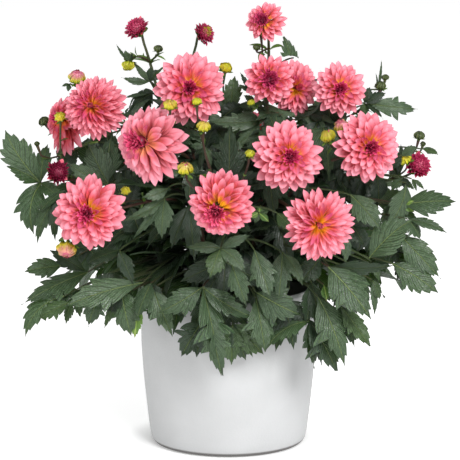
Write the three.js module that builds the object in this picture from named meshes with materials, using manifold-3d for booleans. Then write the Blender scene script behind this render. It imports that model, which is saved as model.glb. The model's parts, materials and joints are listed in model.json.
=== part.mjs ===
// A potted dahlia: a round white planter filled with soil, and eight leafy stems that carry pink double
// blooms, half-open heads and round buds. Millimetres, +Z up, the origin at the centre of the planter's foot.
import * as THREE from "three";
import Module from "manifold-3d";

const wasm = await Module();
wasm.setup();

// Planter, in rows of [radius, height]: up the outside, over the rim and down the inside
const POT_OUTSIDE = [
  [89, 0], [95.5, 2.6], [99, 13], [102.4, 40], [107.4, 90], [110, 138], [107.6, 186],
];
const POT_RIM = [[105, 194.4], [101.6, 196], [98.8, 193]];
const POT_INSIDE = [[101, 150], [90, 20], [84, 12]];
const POT_FLOOR = 11;
const POT_SIDES = 26;

// Soil: it fills the planter to below the rim, and rises a little to the middle
const SOIL_SIDES = 18;
const SOIL_EDGE = 168;
const SOIL_TOP = [[72, 171.5], [50, 175], [0, 175]];
const SOIL_CRUMBS = 3.5;
const SOIL_GAP = 0.6;
const HOLE_DEPTH = 30;
const HOLE_RADIUS = 5.6;
const HOLE_SIDES = 6;

// Stems: those that stand in the soil, those that fork off, and the stalks of the buds
const FOOT_RADIUS = 30;
const FOOT_HEIGHT = 182;
const FOOT_LEAN = 0.25;
const FORK_RISE = 0.3;
const STEM_BEND = 0.36;
const NECK_BEND = 60;
const NECK_RISE = 0.25;
const STEM_SIDES = 5;
const MAIN_RADIUS = 3.7;
const BRANCH_RADIUS = 2.6;
const HEAD_STEM_RADIUS = 2.1;
const STEM_SHARE = 0.95;
const MAIN_STEPS = 6;
const BRANCH_STEPS = 4;
const STALK_RADIUS = 1.3;
const STALK_STEP = 0.5;
const CUP_LENGTH = 9;
const CUP_SHARE = 0.95;
const FACE_GAP = 0.3;

// Leaves: how far they reach over and droop, and what they keep clear of
const LEAF_THICKNESS = 1;
const RIB_DEPTH = 1;
const LEAF_DROOP = 0.9;
const LEAF_MIDDLE = 0.6;
const ARCH = { share: 0.5, fallShare: 0.35, fullFall: 120, lift: 22, lengthLift: 0.08 };
const RISING_ARCH = { lift: 10, share: 0.35 };
const WIDER = 1.08;
const SHALLOWER = 0.9;
const BLOOM_MIDDLE = 0.05;
const BLOOM_CLEARANCE = 5;
const LEAF_TO_POT = 7;
const OVER_POT = 60;

// Each stem's share of the bush round the axis: degrees wide, with waved boundaries
const SHARE = 45;
const SHARE_WAVE = 5;
const SHARE_WAVE_HEIGHT = 26;
const SHARE_WAVE_SHIFT = 1.9;
const SHARE_SOFT = 5;
const SHARE_MARGIN = 3.5;
const SHARE_NEAREST = 12;

// Leaf outlines of one half, as shares of the leaf's length along the rib and out from it, from stem to tip
const FIVE_FROM = 150;
const FIVE_LEAFLETS = {
  rib: [[0, 0], [0.28, 0], [0.4, 0], [0.58, 0], [1, 0]],
  edge: [
    [0, 0.012], [0.28, 0.014], [0.325, 0.15], [0.47, 0.34], [0.445, 0.16], [0.4, 0.022],
    [0.54, 0.15], [0.7, 0.27], [0.65, 0.12], [0.58, 0.028],
    [0.71, 0.135], [0.77, 0.095], [0.86, 0.105],
  ],
};
const THREE_LEAFLETS = {
  rib: [[0, 0], [0.3, 0], [0.5, 0], [1, 0]],
  edge: [
    [0, 0.014], [0.3, 0.016], [0.37, 0.18], [0.56, 0.35], [0.54, 0.16], [0.5, 0.03],
    [0.65, 0.165], [0.72, 0.115], [0.83, 0.125],
  ],
};

// Bloom whorls, as shares of the bloom's radius: petal tips, notches between them, keel and root
const PETALS = { large: 10, small: 8, ball: 7 };
const LARGE_BLOOM = 36;
const PETAL_EDGE = 0.8;
const TIP_SPREAD = [0.08, 0.048];
const WHORLS = [
  { tip: [1, -0.06], notch: [0.78, -0.03], keel: [0.84, 0.05], root: [0.58, 0.03] },
  { tip: [0.88, 0.18], notch: [0.6, 0.14], keel: [0.66, 0.24], root: [0.42, 0.18] },
  { tip: [0.62, 0.4], notch: [0.4, 0.3], keel: [0.45, 0.4], root: [0.22, 0.26] },
];
const BLOOM_BACK = { radius: 0.22, height: -0.24 };
const BALL_WHORLS = [
  { tip: [1, 0.05], notch: [0.78, 0.06], keel: [0.82, 0.2], root: [0.7, 0.35] },
  { tip: [0.84, 0.62], notch: [0.62, 0.52], keel: [0.62, 0.66], root: [0.42, 0.7] },
];
const BALL_BACK = { radius: 0.5, height: -0.34 };
const BALL_APEX = 0.88;
const HEART = { sides: 8, foot: 0.75, crown: 0.6, folds: [1.1, 0.7] };

// Buds: rings of [radius, height] as shares of the bud's radius, one of them with pointed bracts
const BUD_RINGS = [[0.4, -0.8], [0.9, -0.2], [0.92, 0.3], [0.5, 0.85]];
const BUD_NECK = 0.9;
const BUD_SIDES = 6;
const BRACT_REACH = 1.35;
const SEED_STEP = 7919;

const COLOURS = {
  planter: [0xdcdcda, 0.6],
  soil: [0x3b2a20, 0.95],
  foliage: [0x38553a, 0.6],
  petals: [0xf2788a, 0.6],
  heart: [0x96123f, 0.6],
};

// Leafy stems with their leaves. A leaf row: its height on the stem, its turn from the stem's own azimuth in
// degrees, its tip's distance from the axis and its tip's height, and the roll of its blade about the rib.
const SHOOTS = [
  {
    name: "front",
    azimuth: 270,
    leaves: [
      [210, -3, 165, 118, 0], [222, 10, 184, 150, 0], [236, -13, 206, 178, 0], [250, 4, 222, 212, 0],
      [268, 17, 150, 330, 0], [268, -16, 150, 330, 0], [280, 1, 70, 405, 0],
    ],
  },
  {
    name: "front_right",
    azimuth: 315,
    leaves: [
      [208, -6, 180, 118, 0], [220, 8, 204, 134, 10], [238, -2, 222, 168, 15], [256, -13, 205, 208, 0],
      [276, 10, 220, 248, 10], [312, 12, 172, 330, 25], [350, -14, 90, 410, 0],
    ],
  },
  {
    name: "right",
    azimuth: 0,
    leaves: [
      [210, 8, 205, 160, 30], [222, 2, 240, 190, 35], [238, -6, 243, 212, 38], [256, -4, 236, 250, 42],
      [300, -10, 262, 308, 45], [330, -10, 205, 358, 45], [375, 4, 222, 424, 50],
    ],
  },
  {
    name: "back_right",
    azimuth: 45,
    leaves: [
      [210, -8, 200, 116, 0], [226, 9, 236, 150, 0], [248, -4, 250, 206, 0], [280, 12, 240, 250, 0],
      [310, -12, 222, 296, 0], [350, -8, 150, 385, 0], [445, -14, 85, 510, 0],
    ],
  },
  {
    name: "back",
    azimuth: 90,
    leaves: [
      [210, -10, 196, 118, 0], [222, 8, 232, 148, 0], [242, -4, 250, 200, 0], [268, 14, 236, 240, 0],
      [318, 2, 90, 420, 0],
    ],
  },
  {
    name: "back_left",
    azimuth: 135,
    leaves: [
      [210, -9, 198, 116, 0], [226, 10, 238, 146, 0], [248, -4, 255, 202, 0], [278, 13, 245, 240, 0],
      [306, -13, 222, 290, 0], [370, -4, 120, 430, 0],
    ],
  },
  {
    name: "left",
    azimuth: 180,
    leaves: [
      [212, -8, 235, 142, -35], [222, 0, 226, 170, -38], [238, 3, 243, 212, -38], [256, 5, 240, 248, -38],
      [276, -4, 205, 318, -40], [292, 4, 261, 391, -50], [326, 14, 185, 350, -42], [400, 6, 125, 436, -40],
    ],
  },
  {
    name: "front_left",
    azimuth: 225,
    leaves: [
      [208, 12, 176, 138, 0], [220, -4, 200, 140, -10], [236, -13, 226, 165, -20], [250, 4, 236, 198, -10],
      [296, 10, 150, 270, 0], [316, -15, 185, 330, -20],
    ],
  },
];

// Heads: kind, leafy stem, centre, radius, the way it faces (degrees to the right of straight ahead, degrees
// above level), and for most the head whose stem it forks from, with the joint. The others stand in the soil.
const HEADS = {
  bloom_3: ["bloom", "front_left", [-47, -60, 446], 44, 2, 8],
  bloom_1: ["bloom", "front_left", [-158, -72, 426], 39, -10, 12, "bloom_3", 3],
  bloom_4: ["bloom", "front_left", [-94, -112, 386], 43, -38, 5, "bloom_3", 3],
  bloom_5: ["bloom", "front_left", [-162, -150, 308], 42, -5, 5, "bloom_3", 2],
  bloom_6: ["bloom", "front", [-8, -190, 324], 38, -10, -12],
  bloom_8: ["bloom", "front_right", [49, -52, 457], 31, 0, 8],
  bloom_11: ["bloom", "front_right", [68, -142, 372], 42, 8, 8, "bloom_8", 3],
  bloom_13: ["bloom", "front_right", [104, -186, 300], 43, 12, -2, "bloom_8", 2],
  bloom_12: ["bloom", "front_right", [164, -82, 378], 41, 12, 6, "bloom_8", 2],
  bloom_10: ["bloom", "right", [136, -20, 443], 33, 3, 10],
  bloom_9: ["bloom", "right", [80, 12, 444], 35, 25, 5, "bloom_10", 3],
  bloom_7: ["bloom", "back_right", [46, 20, 525], 25, -12, 15],
  bloom_16: ["bloom", "back_right", [150, 140, 351], 40, 140, 25, "bloom_7", 2],
  bloom_15: ["bloom", "back", [35, 178, 368], 41, 172, 28],
  bloom_14: ["bloom", "back_left", [-112, 150, 356], 40, 215, 22, "opening_2", 2],
  bloom_2: ["bloom", "left", [-200, -10, 405], 32, -50, 15, "opening_1", 3],
  opening_1: ["ball", "left", [-113, 10, 517], 14, -20, 45],
  opening_2: ["ball", "back_left", [-31, 30, 510], 13, 25, 30],
  opening_3: ["ball", "left", [-207, -62, 346], 13, 20, 20, "opening_1", 2],
  opening_4: ["ball", "right", [231, -40, 352], 15, 15, 30, "bloom_10", 2],
  bud_1: ["bud", "left", [-185, -28, 460], 9, 10, 60, "opening_1", 4],
  bud_2: ["bud", "left", [-124, 2, 471], 7, 0, -60, "opening_1", 5],
  bud_3: ["bud", "left", [-87, 12, 493], 5, 0, 70, "opening_1", 5],
  bud_4: ["bud", "left", [-203, -62, 414], 6, 0, 40, "opening_3", 3],
  bud_5: ["bud", "left", [-232, 25, 402], 6, -60, 60, "bloom_2", 2],
  bud_6: ["bud", "front_left", [-68, -124, 433], 7, 0, 60, "bloom_4", 3],
  bud_7: ["bud", "front", [-37, -118, 436], 5, 0, 70, "bud_8", 1],
  bud_8: ["bud", "front", [-29, -130, 408], 7, 10, 60, "bloom_6", 3],
  bud_9: ["bud", "front", [-50, -152, 361], 8, 0, 60, "bloom_6", 4],
  bud_10: ["bud", "back", [-3, 22, 469], 7, 20, 50, "bloom_15", 2],
  bud_11: ["bud", "front_left", [-121, -128, 332], 5, 0, 45, "bloom_5", 3],
  bud_13: ["bud", "front_left", [-190, -142, 263], 10, 0, -10, "bloom_5", 2],
  bud_14: ["bud", "front_right", [27, -62, 431], 4, -20, 60, "bloom_8", 5],
  bud_16: ["bud", "front_right", [119, -74, 392], 8, -15, 30, "bloom_12", 3],
  bud_18: ["bud", "right", [214, -50, 362], 7, -30, 40, "opening_4", 3],
  bud_19: ["bud", "right", [235, -18, 388], 6, 20, 75, "opening_4", 2],
  bud_21: ["bud", "right", [188, 2, 448], 6, 10, 75, "bloom_10", 4],
  bud_22: ["bud", "front", [25, -150, 378], 5, 10, 60, "bloom_6", 4],
  bud_23: ["bud", "back_left", [-62, 118, 438], 7, 200, 65, "opening_2", 4],
  bud_24: ["bud", "back_right", [104, 118, 430], 7, 150, 65, "bloom_7", 4],
};

const UP = new THREE.Vector3(0, 0, 1);
const degrees = THREE.MathUtils.degToRad;

// Numbers from 0 to 1 that are the same on every run.
function randomFrom(seed) {
  let state = seed;
  return () => {
    state = (state * 1664525 + 1013904223) % 4294967296;
    return state / 4294967296;
  };
}

// A closed surface under construction.
class Surface {
  constructor() {
    this.points = [];
    this.triangles = [];
  }

  point(p) {
    this.points.push(p);
    return this.points.length - 1;
  }

  triangle(a, b, c) {
    this.triangles.push([a, b, c]);
  }

  // Two rings of as many points, joined all round.
  band(lower, upper) {
    lower.forEach((a, i) => {
      const next = (i + 1) % lower.length;
      this.triangle(a, lower[next], upper[next]);
      this.triangle(a, upper[next], upper[i]);
    });
  }

  // A ring closed by triangles from its first point, or from one apex.
  cap(ring, apex) {
    const centre = apex ?? ring[0];
    const [from, to] = apex === undefined ? [1, ring.length - 1] : [0, ring.length];
    for (let i = from; i < to; i++) this.triangle(centre, ring[i], ring[(i + 1) % ring.length]);
  }

  solid() {
    const made = new wasm.Manifold(this.mesh(false));
    return made.volume() > 0 ? made : new wasm.Manifold(this.mesh(true));
  }

  mesh(turned) {
    const triVerts = new Uint32Array(this.triangles.flatMap(([a, b, c]) => (turned ? [a, c, b] : [a, b, c])));
    return new wasm.Mesh({ numProp: 3, vertProperties: new Float32Array(this.points.flat()), triVerts });
  }
}

// The named mesh of a solid.
function meshOf(name, solid, [colour, roughness]) {
  const made = solid.getMesh();
  const geometry = new THREE.BufferGeometry();
  geometry.setAttribute("position", new THREE.BufferAttribute(made.vertProperties.slice(), 3));
  geometry.setIndex(new THREE.BufferAttribute(made.triVerts.slice(), 1));
  const flat = geometry.toNonIndexed();
  flat.computeVertexNormals();
  const material = new THREE.MeshStandardMaterial({ color: colour, roughness, metalness: 0 });
  const mesh = new THREE.Mesh(flat, material);
  mesh.name = name;
  return mesh;
}

// A round solid from a profile of [radius, height] that starts and ends on the axis.
function turned(profile, sides, relief = () => 0) {
  const surface = new Surface();
  const rings = profile.slice(1, -1).map(([radius, height], row) =>
    Array.from({ length: sides }, (_, i) => {
      const angle = (i / sides) * 2 * Math.PI;
      return surface.point([radius * Math.cos(angle), radius * Math.sin(angle), height + relief(row, i)]);
    }),
  );
  for (let k = 1; k < rings.length; k++) surface.band(rings[k - 1], rings[k]);
  surface.cap([...rings[0]].reverse(), surface.point([0, 0, profile[0][1]]));
  surface.cap(rings[rings.length - 1], surface.point([0, 0, profile[profile.length - 1][1]]));
  return surface.solid();
}

function planter() {
  return turned([[0, 0], ...POT_OUTSIDE, ...POT_RIM, ...POT_INSIDE, [0, POT_FLOOR]], POT_SIDES);
}

// The radius at a height along rows of [radius, height].
function radiusAt(outline, height) {
  const rows = [...outline].sort((a, b) => a[1] - b[1]);
  const k = rows.findIndex((row) => row[1] > height);
  if (k < 0) return rows[rows.length - 1][0];
  if (k === 0) return rows[0][0];
  const share = (height - rows[k - 1][1]) / (rows[k][1] - rows[k - 1][1]);
  return THREE.MathUtils.lerp(rows[k - 1][0], rows[k][0], share);
}

// Soil that follows the inside of the planter, with a crumbly top, and a plain hole for each foot.
function soil(feet) {
  const fit = Math.cos(Math.PI / POT_SIDES);
  const inside = (height) => radiusAt([...POT_INSIDE, POT_RIM[2]], height) * fit - SOIL_GAP;
  const wall = [...POT_INSIDE].reverse().map(([, height]) => [inside(height), height]);
  wall[0][1] += SOIL_GAP;
  const profile = [[0, POT_FLOOR + SOIL_GAP], ...wall, [inside(SOIL_EDGE), SOIL_EDGE], ...SOIL_TOP];
  const random = randomFrom(SOIL_SIDES);
  const crumbs = (row) => (row > wall.length ? (random() - 0.5) * SOIL_CRUMBS : 0);
  let made = turned(profile, SOIL_SIDES, crumbs);
  for (const foot of feet) {
    const below = foot.clone().setZ(SOIL_EDGE - HOLE_DEPTH);
    const above = foot.clone().setZ(FOOT_HEIGHT);
    made = made.subtract(tube([below, above], [HOLE_RADIUS, HOLE_RADIUS], HOLE_SIDES));
  }
  return made;
}

// A round body along points, with a radius at each, closed at both ends. On a starry ring every other point
// stands further out.
function tube(points, radii, sides, starry = {}) {
  const surface = new Surface();
  let across = new THREE.Vector3(1, 0.3, 0.2).normalize();
  const rings = points.map((p, k) => {
    const ahead = points[Math.min(k + 1, points.length - 1)];
    const behind = points[Math.max(k - 1, 0)];
    const along = ahead.clone().sub(behind).normalize();
    across = across.clone().addScaledVector(along, -across.dot(along)).normalize();
    const third = along.clone().cross(across);
    return Array.from({ length: sides }, (_, i) => {
      const angle = (i / sides) * 2 * Math.PI;
      const radius = starry[k] && i % 2 === 0 ? starry[k] : radii[k];
      const at = p.clone().addScaledVector(across, radius * Math.cos(angle));
      return surface.point(at.addScaledVector(third, radius * Math.sin(angle)).toArray());
    });
  });
  for (let k = 1; k < rings.length; k++) surface.band(rings[k - 1], rings[k]);
  surface.cap([...rings[0]].reverse());
  surface.cap(rings[rings.length - 1]);
  return surface.solid();
}

// The unit vector for a way of facing: degrees to the right of straight ahead, and degrees above level.
function facing(turn, tilt) {
  const level = Math.cos(degrees(tilt));
  const way = degrees(turn);
  return new THREE.Vector3(Math.sin(way) * level, -Math.cos(way) * level, Math.sin(degrees(tilt)));
}

// Three axes for a head: across, upwards on its face, and the way it faces.
function headAxes(way) {
  const across = UP.clone().cross(way).normalize();
  return [across, way.clone().cross(across), way];
}

// What a head's row says, with the neck where its stem meets it.
function headOf(name) {
  const [kind, shoot, at, radius, turn, tilt, parent, joint] = HEADS[name];
  const way = facing(turn, tilt);
  const back = { bloom: -BLOOM_BACK.height, ball: -BALL_BACK.height, bud: BUD_NECK }[kind] * radius;
  const centre = new THREE.Vector3(...at);
  const neck = centre.clone().addScaledVector(way, -back);
  const seed = Object.keys(HEADS).indexOf(name) + 1;
  return { name, kind, shoot, centre, radius, way, neck, parent, joint, seed };
}

const heads = Object.fromEntries(Object.keys(HEADS).map((name) => [name, headOf(name)]));

// How far along its line a joint of a head's stem lies.
function jointShare(head, joint) {
  if (head.kind === "bud") return joint * STALK_STEP;
  return (joint / (head.parent ? BRANCH_STEPS : MAIN_STEPS)) * STEM_SHARE;
}

// The line of a head's stem, from the soil or from the stem that it forks from, to the back of the head.
const lines = {};
function lineOf(name) {
  if (lines[name]) return lines[name];
  const head = heads[name];
  const shoot = SHOOTS.find((s) => s.name === head.shoot);
  const way = degrees(shoot.azimuth);
  let start = new THREE.Vector3(FOOT_RADIUS * Math.cos(way), FOOT_RADIUS * Math.sin(way), FOOT_HEIGHT);
  let leave = new THREE.Vector3(Math.cos(way) * FOOT_LEAN, Math.sin(way) * FOOT_LEAN, 1);
  if (head.parent) {
    const share = jointShare(heads[head.parent], head.joint);
    start = lineOf(head.parent).getPoint(share);
    leave = lineOf(head.parent).getTangent(share).addScaledVector(UP, FORK_RISE);
  }
  const reach = STEM_BEND * head.neck.distanceTo(start);
  const arrive = head.way.clone().addScaledVector(UP, NECK_RISE).normalize();
  lines[name] = new THREE.CubicBezierCurve3(
    start,
    start.clone().addScaledVector(leave.normalize(), reach),
    head.neck.clone().addScaledVector(arrive, -Math.min(reach, NECK_BEND)),
    head.neck.clone(),
  );
  return lines[name];
}

// A head's stem. It ends in the green cup that holds the head, and meets the head face to face, or in a bud.
function stemSolid(head) {
  const line = lineOf(head.name);
  if (head.kind === "bud") return budSolid(head, line);
  const first = !head.parent;
  const steps = first ? MAIN_STEPS : BRANCH_STEPS;
  const thick = first ? MAIN_RADIUS : BRANCH_RADIUS;
  const points = [];
  const radii = [];
  for (let i = 0; i < steps; i++) {
    points.push(line.getPoint(jointShare(head, i)));
    radii.push(THREE.MathUtils.lerp(thick, HEAD_STEM_RADIUS, i / steps));
  }
  if (first) {
    points.unshift(points[0].clone().setZ(SOIL_EDGE - HOLE_DEPTH + 1));
    radii.unshift(MAIN_RADIUS);
  }
  const end = head.neck.clone().addScaledVector(head.way, -FACE_GAP);
  points.push(end.clone().addScaledVector(head.way, -CUP_LENGTH), end);
  const back = head.kind === "ball" ? BALL_BACK : BLOOM_BACK;
  radii.push(HEAD_STEM_RADIUS, back.radius * head.radius * CUP_SHARE);
  return tube(points, radii, STEM_SIDES);
}

// A round bud on its stalk, with a ring of pointed bracts.
function budSolid(head, line) {
  const stalk = [line.getPoint(0), line.getPoint(jointShare(head, 1))];
  const at = (height) => head.centre.clone().addScaledVector(head.way, height * head.radius);
  const round = BUD_RINGS.map(([, height]) => at(height));
  const radii = [STALK_RADIUS, STALK_RADIUS, ...BUD_RINGS.map(([radius]) => radius * head.radius)];
  return tube([...stalk, ...round], radii, BUD_SIDES, { 3: BRACT_REACH * head.radius });
}

// Whorls of petals as one closed surface: each whorl is a starry terrace that stands out over the one below.
function whorlSolid(head, whorls, back, count, apex) {
  const surface = new Surface();
  const random = randomFrom(head.seed * SEED_STEP);
  const [across, up] = headAxes(head.way);
  const step = (2 * Math.PI) / count;
  const spin = random() * step;
  const place = ([r, h], angle, lift = 0) =>
    head.centre.clone().addScaledVector(head.way, h * head.radius + lift)
      .addScaledVector(across, r * head.radius * Math.cos(angle))
      .addScaledVector(up, r * head.radius * Math.sin(angle)).toArray();
  const ring = (shape, phase, lift) =>
    Array.from({ length: count }, (_, i) => surface.point(place(shape(i), spin + (phase + i) * step, lift)));
  let under = ring(() => [back.radius, back.height], 0);
  surface.cap([...under].reverse());
  whorls.forEach((whorl, k) => {
    const phase = k / 2;
    const tips = whorlTips(whorl.tip, count, random);
    const low = ring((i) => tips[i], phase, -PETAL_EDGE);
    const high = ring((i) => tips[i], phase);
    const notch = ring(() => whorl.notch, phase + 0.5);
    const keel = ring(() => whorl.keel, phase);
    const root = ring(() => whorl.root, phase + 0.5);
    for (let i = 0; i < count; i++) {
      const before = (i + count - 1) % count;
      surface.triangle(under[i], low[i], notch[before]);
      surface.triangle(under[i], notch[i], low[i]);
      surface.triangle(under[i], under[(i + 1) % count], notch[i]);
      surface.triangle(notch[before], low[i], high[i]);
      surface.triangle(low[i], notch[i], high[i]);
      surface.triangle(notch[before], high[i], keel[i]);
      surface.triangle(high[i], notch[i], keel[i]);
      surface.triangle(notch[before], keel[i], root[before]);
      surface.triangle(keel[i], notch[i], root[i]);
      surface.triangle(keel[i], root[i], root[before]);
    }
    under = root;
  });
  surface.cap(under, apex === undefined ? undefined : surface.point(place([0, apex], 0)));
  return surface.solid();
}

// The tips of a whorl's petals, each a little longer or shorter and higher or lower than its neighbours.
function whorlTips([radius, height], count, random) {
  return Array.from({ length: count }, () => [
    radius + (random() - 0.5) * TIP_SPREAD[0],
    height + (random() - 0.5) * TIP_SPREAD[1],
  ]);
}

// The dark heart of a bloom: small folded petals that stand in the open middle of the last whorl.
function heartSolid(head) {
  const surface = new Surface();
  const [across, up] = headAxes(head.way);
  const inner = WHORLS[WHORLS.length - 1];
  const floor = inner.root[1] * head.radius + FACE_GAP;
  const size = inner.root[0] * head.radius;
  const ring = (reach, height) =>
    Array.from({ length: HEART.sides }, (_, i) => {
      const angle = (i / HEART.sides) * 2 * Math.PI;
      const at = head.centre.clone().addScaledVector(head.way, floor + height * size);
      at.addScaledVector(across, reach(i) * size * Math.cos(angle));
      return surface.point(at.addScaledVector(up, reach(i) * size * Math.sin(angle)).toArray());
    });
  const foot = ring(() => HEART.foot, 0);
  const crown = ring((i) => HEART.folds[i % 2], HEART.crown);
  surface.cap([...foot].reverse());
  surface.band(foot, crown);
  surface.cap(crown, surface.point(head.centre.clone().addScaledVector(head.way, floor + size).toArray()));
  return surface.solid();
}

// A leaf's point bent clear of the blooms, of the planter and of the neighbouring stems' shares.
function bentClear(p, shoot, middle) {
  for (const head of Object.values(heads)) if (head.kind !== "bud") clearOfHead(p, head, middle);
  clearOfPlanter(p);
  keptInShare(p, shoot);
  return p;
}

// A point inside the ball round a head moves out of it, to the side that the leaf's middle is on.
function clearOfHead(p, head, middle) {
  const centre = head.centre.clone().addScaledVector(head.way, BLOOM_MIDDLE * head.radius);
  const reach = head.radius + BLOOM_CLEARANCE;
  const offset = p.clone().sub(centre);
  if (offset.length() >= reach) return;
  const way = middle.clone().sub(centre).normalize();
  const along = offset.dot(way);
  p.addScaledVector(way, -along + Math.sqrt(along * along - offset.lengthSq() + reach * reach));
}

function clearOfPlanter(p) {
  const rim = [POT_RIM[0][0], POT_RIM[1][1] + LEAF_TO_POT];
  const fromAxis = Math.hypot(p.x, p.y);
  if (p.z > rim[1] || fromAxis < OVER_POT) return;
  const share = (radiusAt([...POT_OUTSIDE, rim], p.z) + LEAF_TO_POT) / fromAxis;
  if (share > 1) p.set(p.x * share, p.y * share, p.z);
}

// Where the boundary between two stems' shares of the bush lies, as an azimuth, at a height.
function boundary(index, height) {
  return (index + 0.5) * SHARE + SHARE_WAVE * Math.sin(height / SHARE_WAVE_HEIGHT + index * SHARE_WAVE_SHIFT);
}

// An angle held below a limit, softly.
function heldBelow(angle, limit) {
  const soft = limit - SHARE_SOFT;
  return angle < soft ? angle : limit - SHARE_SOFT * Math.exp(-(angle - soft) / SHARE_SOFT);
}

function keptInShare(p, shoot) {
  const index = shoot.azimuth / SHARE;
  const radius = Math.hypot(p.x, p.y);
  const margin = THREE.MathUtils.radToDeg(SHARE_MARGIN / Math.max(radius, SHARE_NEAREST));
  let angle = THREE.MathUtils.radToDeg(Math.atan2(p.y, p.x)) - shoot.azimuth;
  angle -= 360 * Math.round(angle / 360);
  angle = heldBelow(angle, boundary(index, p.z) - shoot.azimuth - margin);
  angle = -heldBelow(-angle, shoot.azimuth - boundary(index - 1, p.z) - margin);
  const way = degrees(shoot.azimuth + angle);
  p.set(radius * Math.cos(way), radius * Math.sin(way), p.z);
}

// The point at a height on the main stem, between two of its joints.
function onStem(shoot, height) {
  const head = Object.values(heads).find((h) => h.shoot === shoot.name && !h.parent);
  const line = lineOf(head.name);
  const joints = Array.from({ length: MAIN_STEPS }, (_, i) => line.getPoint(jointShare(head, i)));
  const k = joints.findIndex((p) => p.z > height);
  const above = k < 0 ? MAIN_STEPS - 1 : Math.max(k, 1);
  const [low, high] = [joints[above - 1], joints[above]];
  return low.clone().lerp(high, Math.min((height - low.z) / (high.z - low.z), 1));
}

// A leaf's rib: out from the stem, over, and down to its tip.
function ribOf(shoot, row) {
  const [height, turn, reach, tipHeight] = row;
  const from = onStem(shoot, height);
  const way = degrees(shoot.azimuth + turn);
  const to = new THREE.Vector3(reach * Math.cos(way) * WIDER, reach * Math.sin(way) * SHALLOWER, tipHeight);
  const rise = to.z - from.z;
  const fall = THREE.MathUtils.clamp(-rise / ARCH.fullFall, 0, 1);
  const over = from.clone().lerp(to, ARCH.share + ARCH.fallShare * fall);
  if (rise > 0) over.z = from.z + RISING_ARCH.lift + RISING_ARCH.share * rise;
  else over.z = from.z + ARCH.lift + ARCH.lengthLift * from.distanceTo(to);
  return new THREE.QuadraticBezierCurve3(from, over, to);
}

// One leaf as a thin arched blade cut to the rib between its leaflets.
function leafSolid(shoot, row) {
  const rib = ribOf(shoot, row);
  const length = rib.getLength();
  const outline = length > FIVE_FROM ? FIVE_LEAFLETS : THREE_LEAFLETS;
  const middle = rib.getPoint(LEAF_MIDDLE);
  const surface = new Surface();
  const place = ([u, v], lift) => {
    const along = rib.getTangent(u);
    const side = along.clone().cross(UP).normalize().applyAxisAngle(along, degrees(row[4]));
    const face = side.clone().cross(along);
    const out = v * length;
    const droop = (LEAF_DROOP * out * out) / length;
    const p = rib.getPoint(u).addScaledVector(side, out).addScaledVector(face, lift - droop);
    return surface.point(bentClear(p, shoot, middle).toArray());
  };
  const half = LEAF_THICKNESS / 2;
  const [leftTop, rightTop] = bladeFace(surface, outline, place, half, half, true);
  const [leftUnder, rightUnder] = bladeFace(surface, outline, place, -half, -half - RIB_DEPTH, false);
  edgeWall(surface, leftTop, leftUnder);
  edgeWall(surface, rightUnder, rightTop);
  return surface.solid();
}

// Both halves of one face of a blade. It gives the left and the right edge, from the stem to the tip.
function bladeFace(surface, outline, place, edgeLift, ribLift, above) {
  const half = [...outline.rib, ...[...outline.edge].reverse()].map(([u, v]) => new THREE.Vector2(u, v));
  const faces = THREE.ShapeUtils.triangulateShape(half, []);
  const ribs = outline.rib.map((p) => place(p, ribLift));
  return [1, -1].map((side) => {
    const edge = outline.edge.map(([u, v]) => place([u, v * side], edgeLift));
    const corners = [...ribs, ...[...edge].reverse()];
    for (const [a, b, c] of faces) {
      if (above === side > 0) surface.triangle(corners[a], corners[b], corners[c]);
      else surface.triangle(corners[a], corners[c], corners[b]);
    }
    return [ribs[0], ...edge, ribs[ribs.length - 1]];
  });
}

// The thin wall between an edge of the one face and the same edge of the other.
function edgeWall(surface, first, second) {
  for (let i = 1; i < first.length; i++) {
    surface.triangle(first[i - 1], first[i], second[i]);
    surface.triangle(first[i - 1], second[i], second[i - 1]);
  }
}

// One leafy stem: its stems, cups, buds and leaves, fused.
function leafyStem(shoot) {
  const stems = Object.values(heads).filter((head) => head.shoot === shoot.name).map(stemSolid);
  const leaves = shoot.leaves.map((row) => leafSolid(shoot, row));
  return wasm.Manifold.union([...stems, ...leaves]);
}

const dahlia = new THREE.Group();
dahlia.add(meshOf("pot", planter(), COLOURS.planter));
const feet = Object.values(heads).filter((head) => !head.parent).map((head) => lineOf(head.name).getPoint(0));
dahlia.add(meshOf("soil", soil(feet), COLOURS.soil));
for (const shoot of SHOOTS) dahlia.add(meshOf("leafy_stem_" + shoot.name, leafyStem(shoot), COLOURS.foliage));
for (const head of Object.values(heads)) {
  if (head.kind === "bloom") {
    const count = head.radius < LARGE_BLOOM ? PETALS.small : PETALS.large;
    dahlia.add(meshOf(head.name + "_petals", whorlSolid(head, WHORLS, BLOOM_BACK, count), COLOURS.petals));
    dahlia.add(meshOf(head.name + "_heart", heartSolid(head), COLOURS.heart));
  } else if (head.kind === "ball") {
    const ball = whorlSolid(head, BALL_WHORLS, BALL_BACK, PETALS.ball, BALL_APEX);
    dahlia.add(meshOf(head.name, ball, COLOURS.heart));
  }
}

export default dahlia;
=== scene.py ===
"""Looks of a potted dahlia: a white planter, leafy stems, pink double blooms, half-open heads and buds.

Places and sizes are in millimetres, as the solids have them, and a mesh is made in metres.
"""
import json
import math

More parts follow.
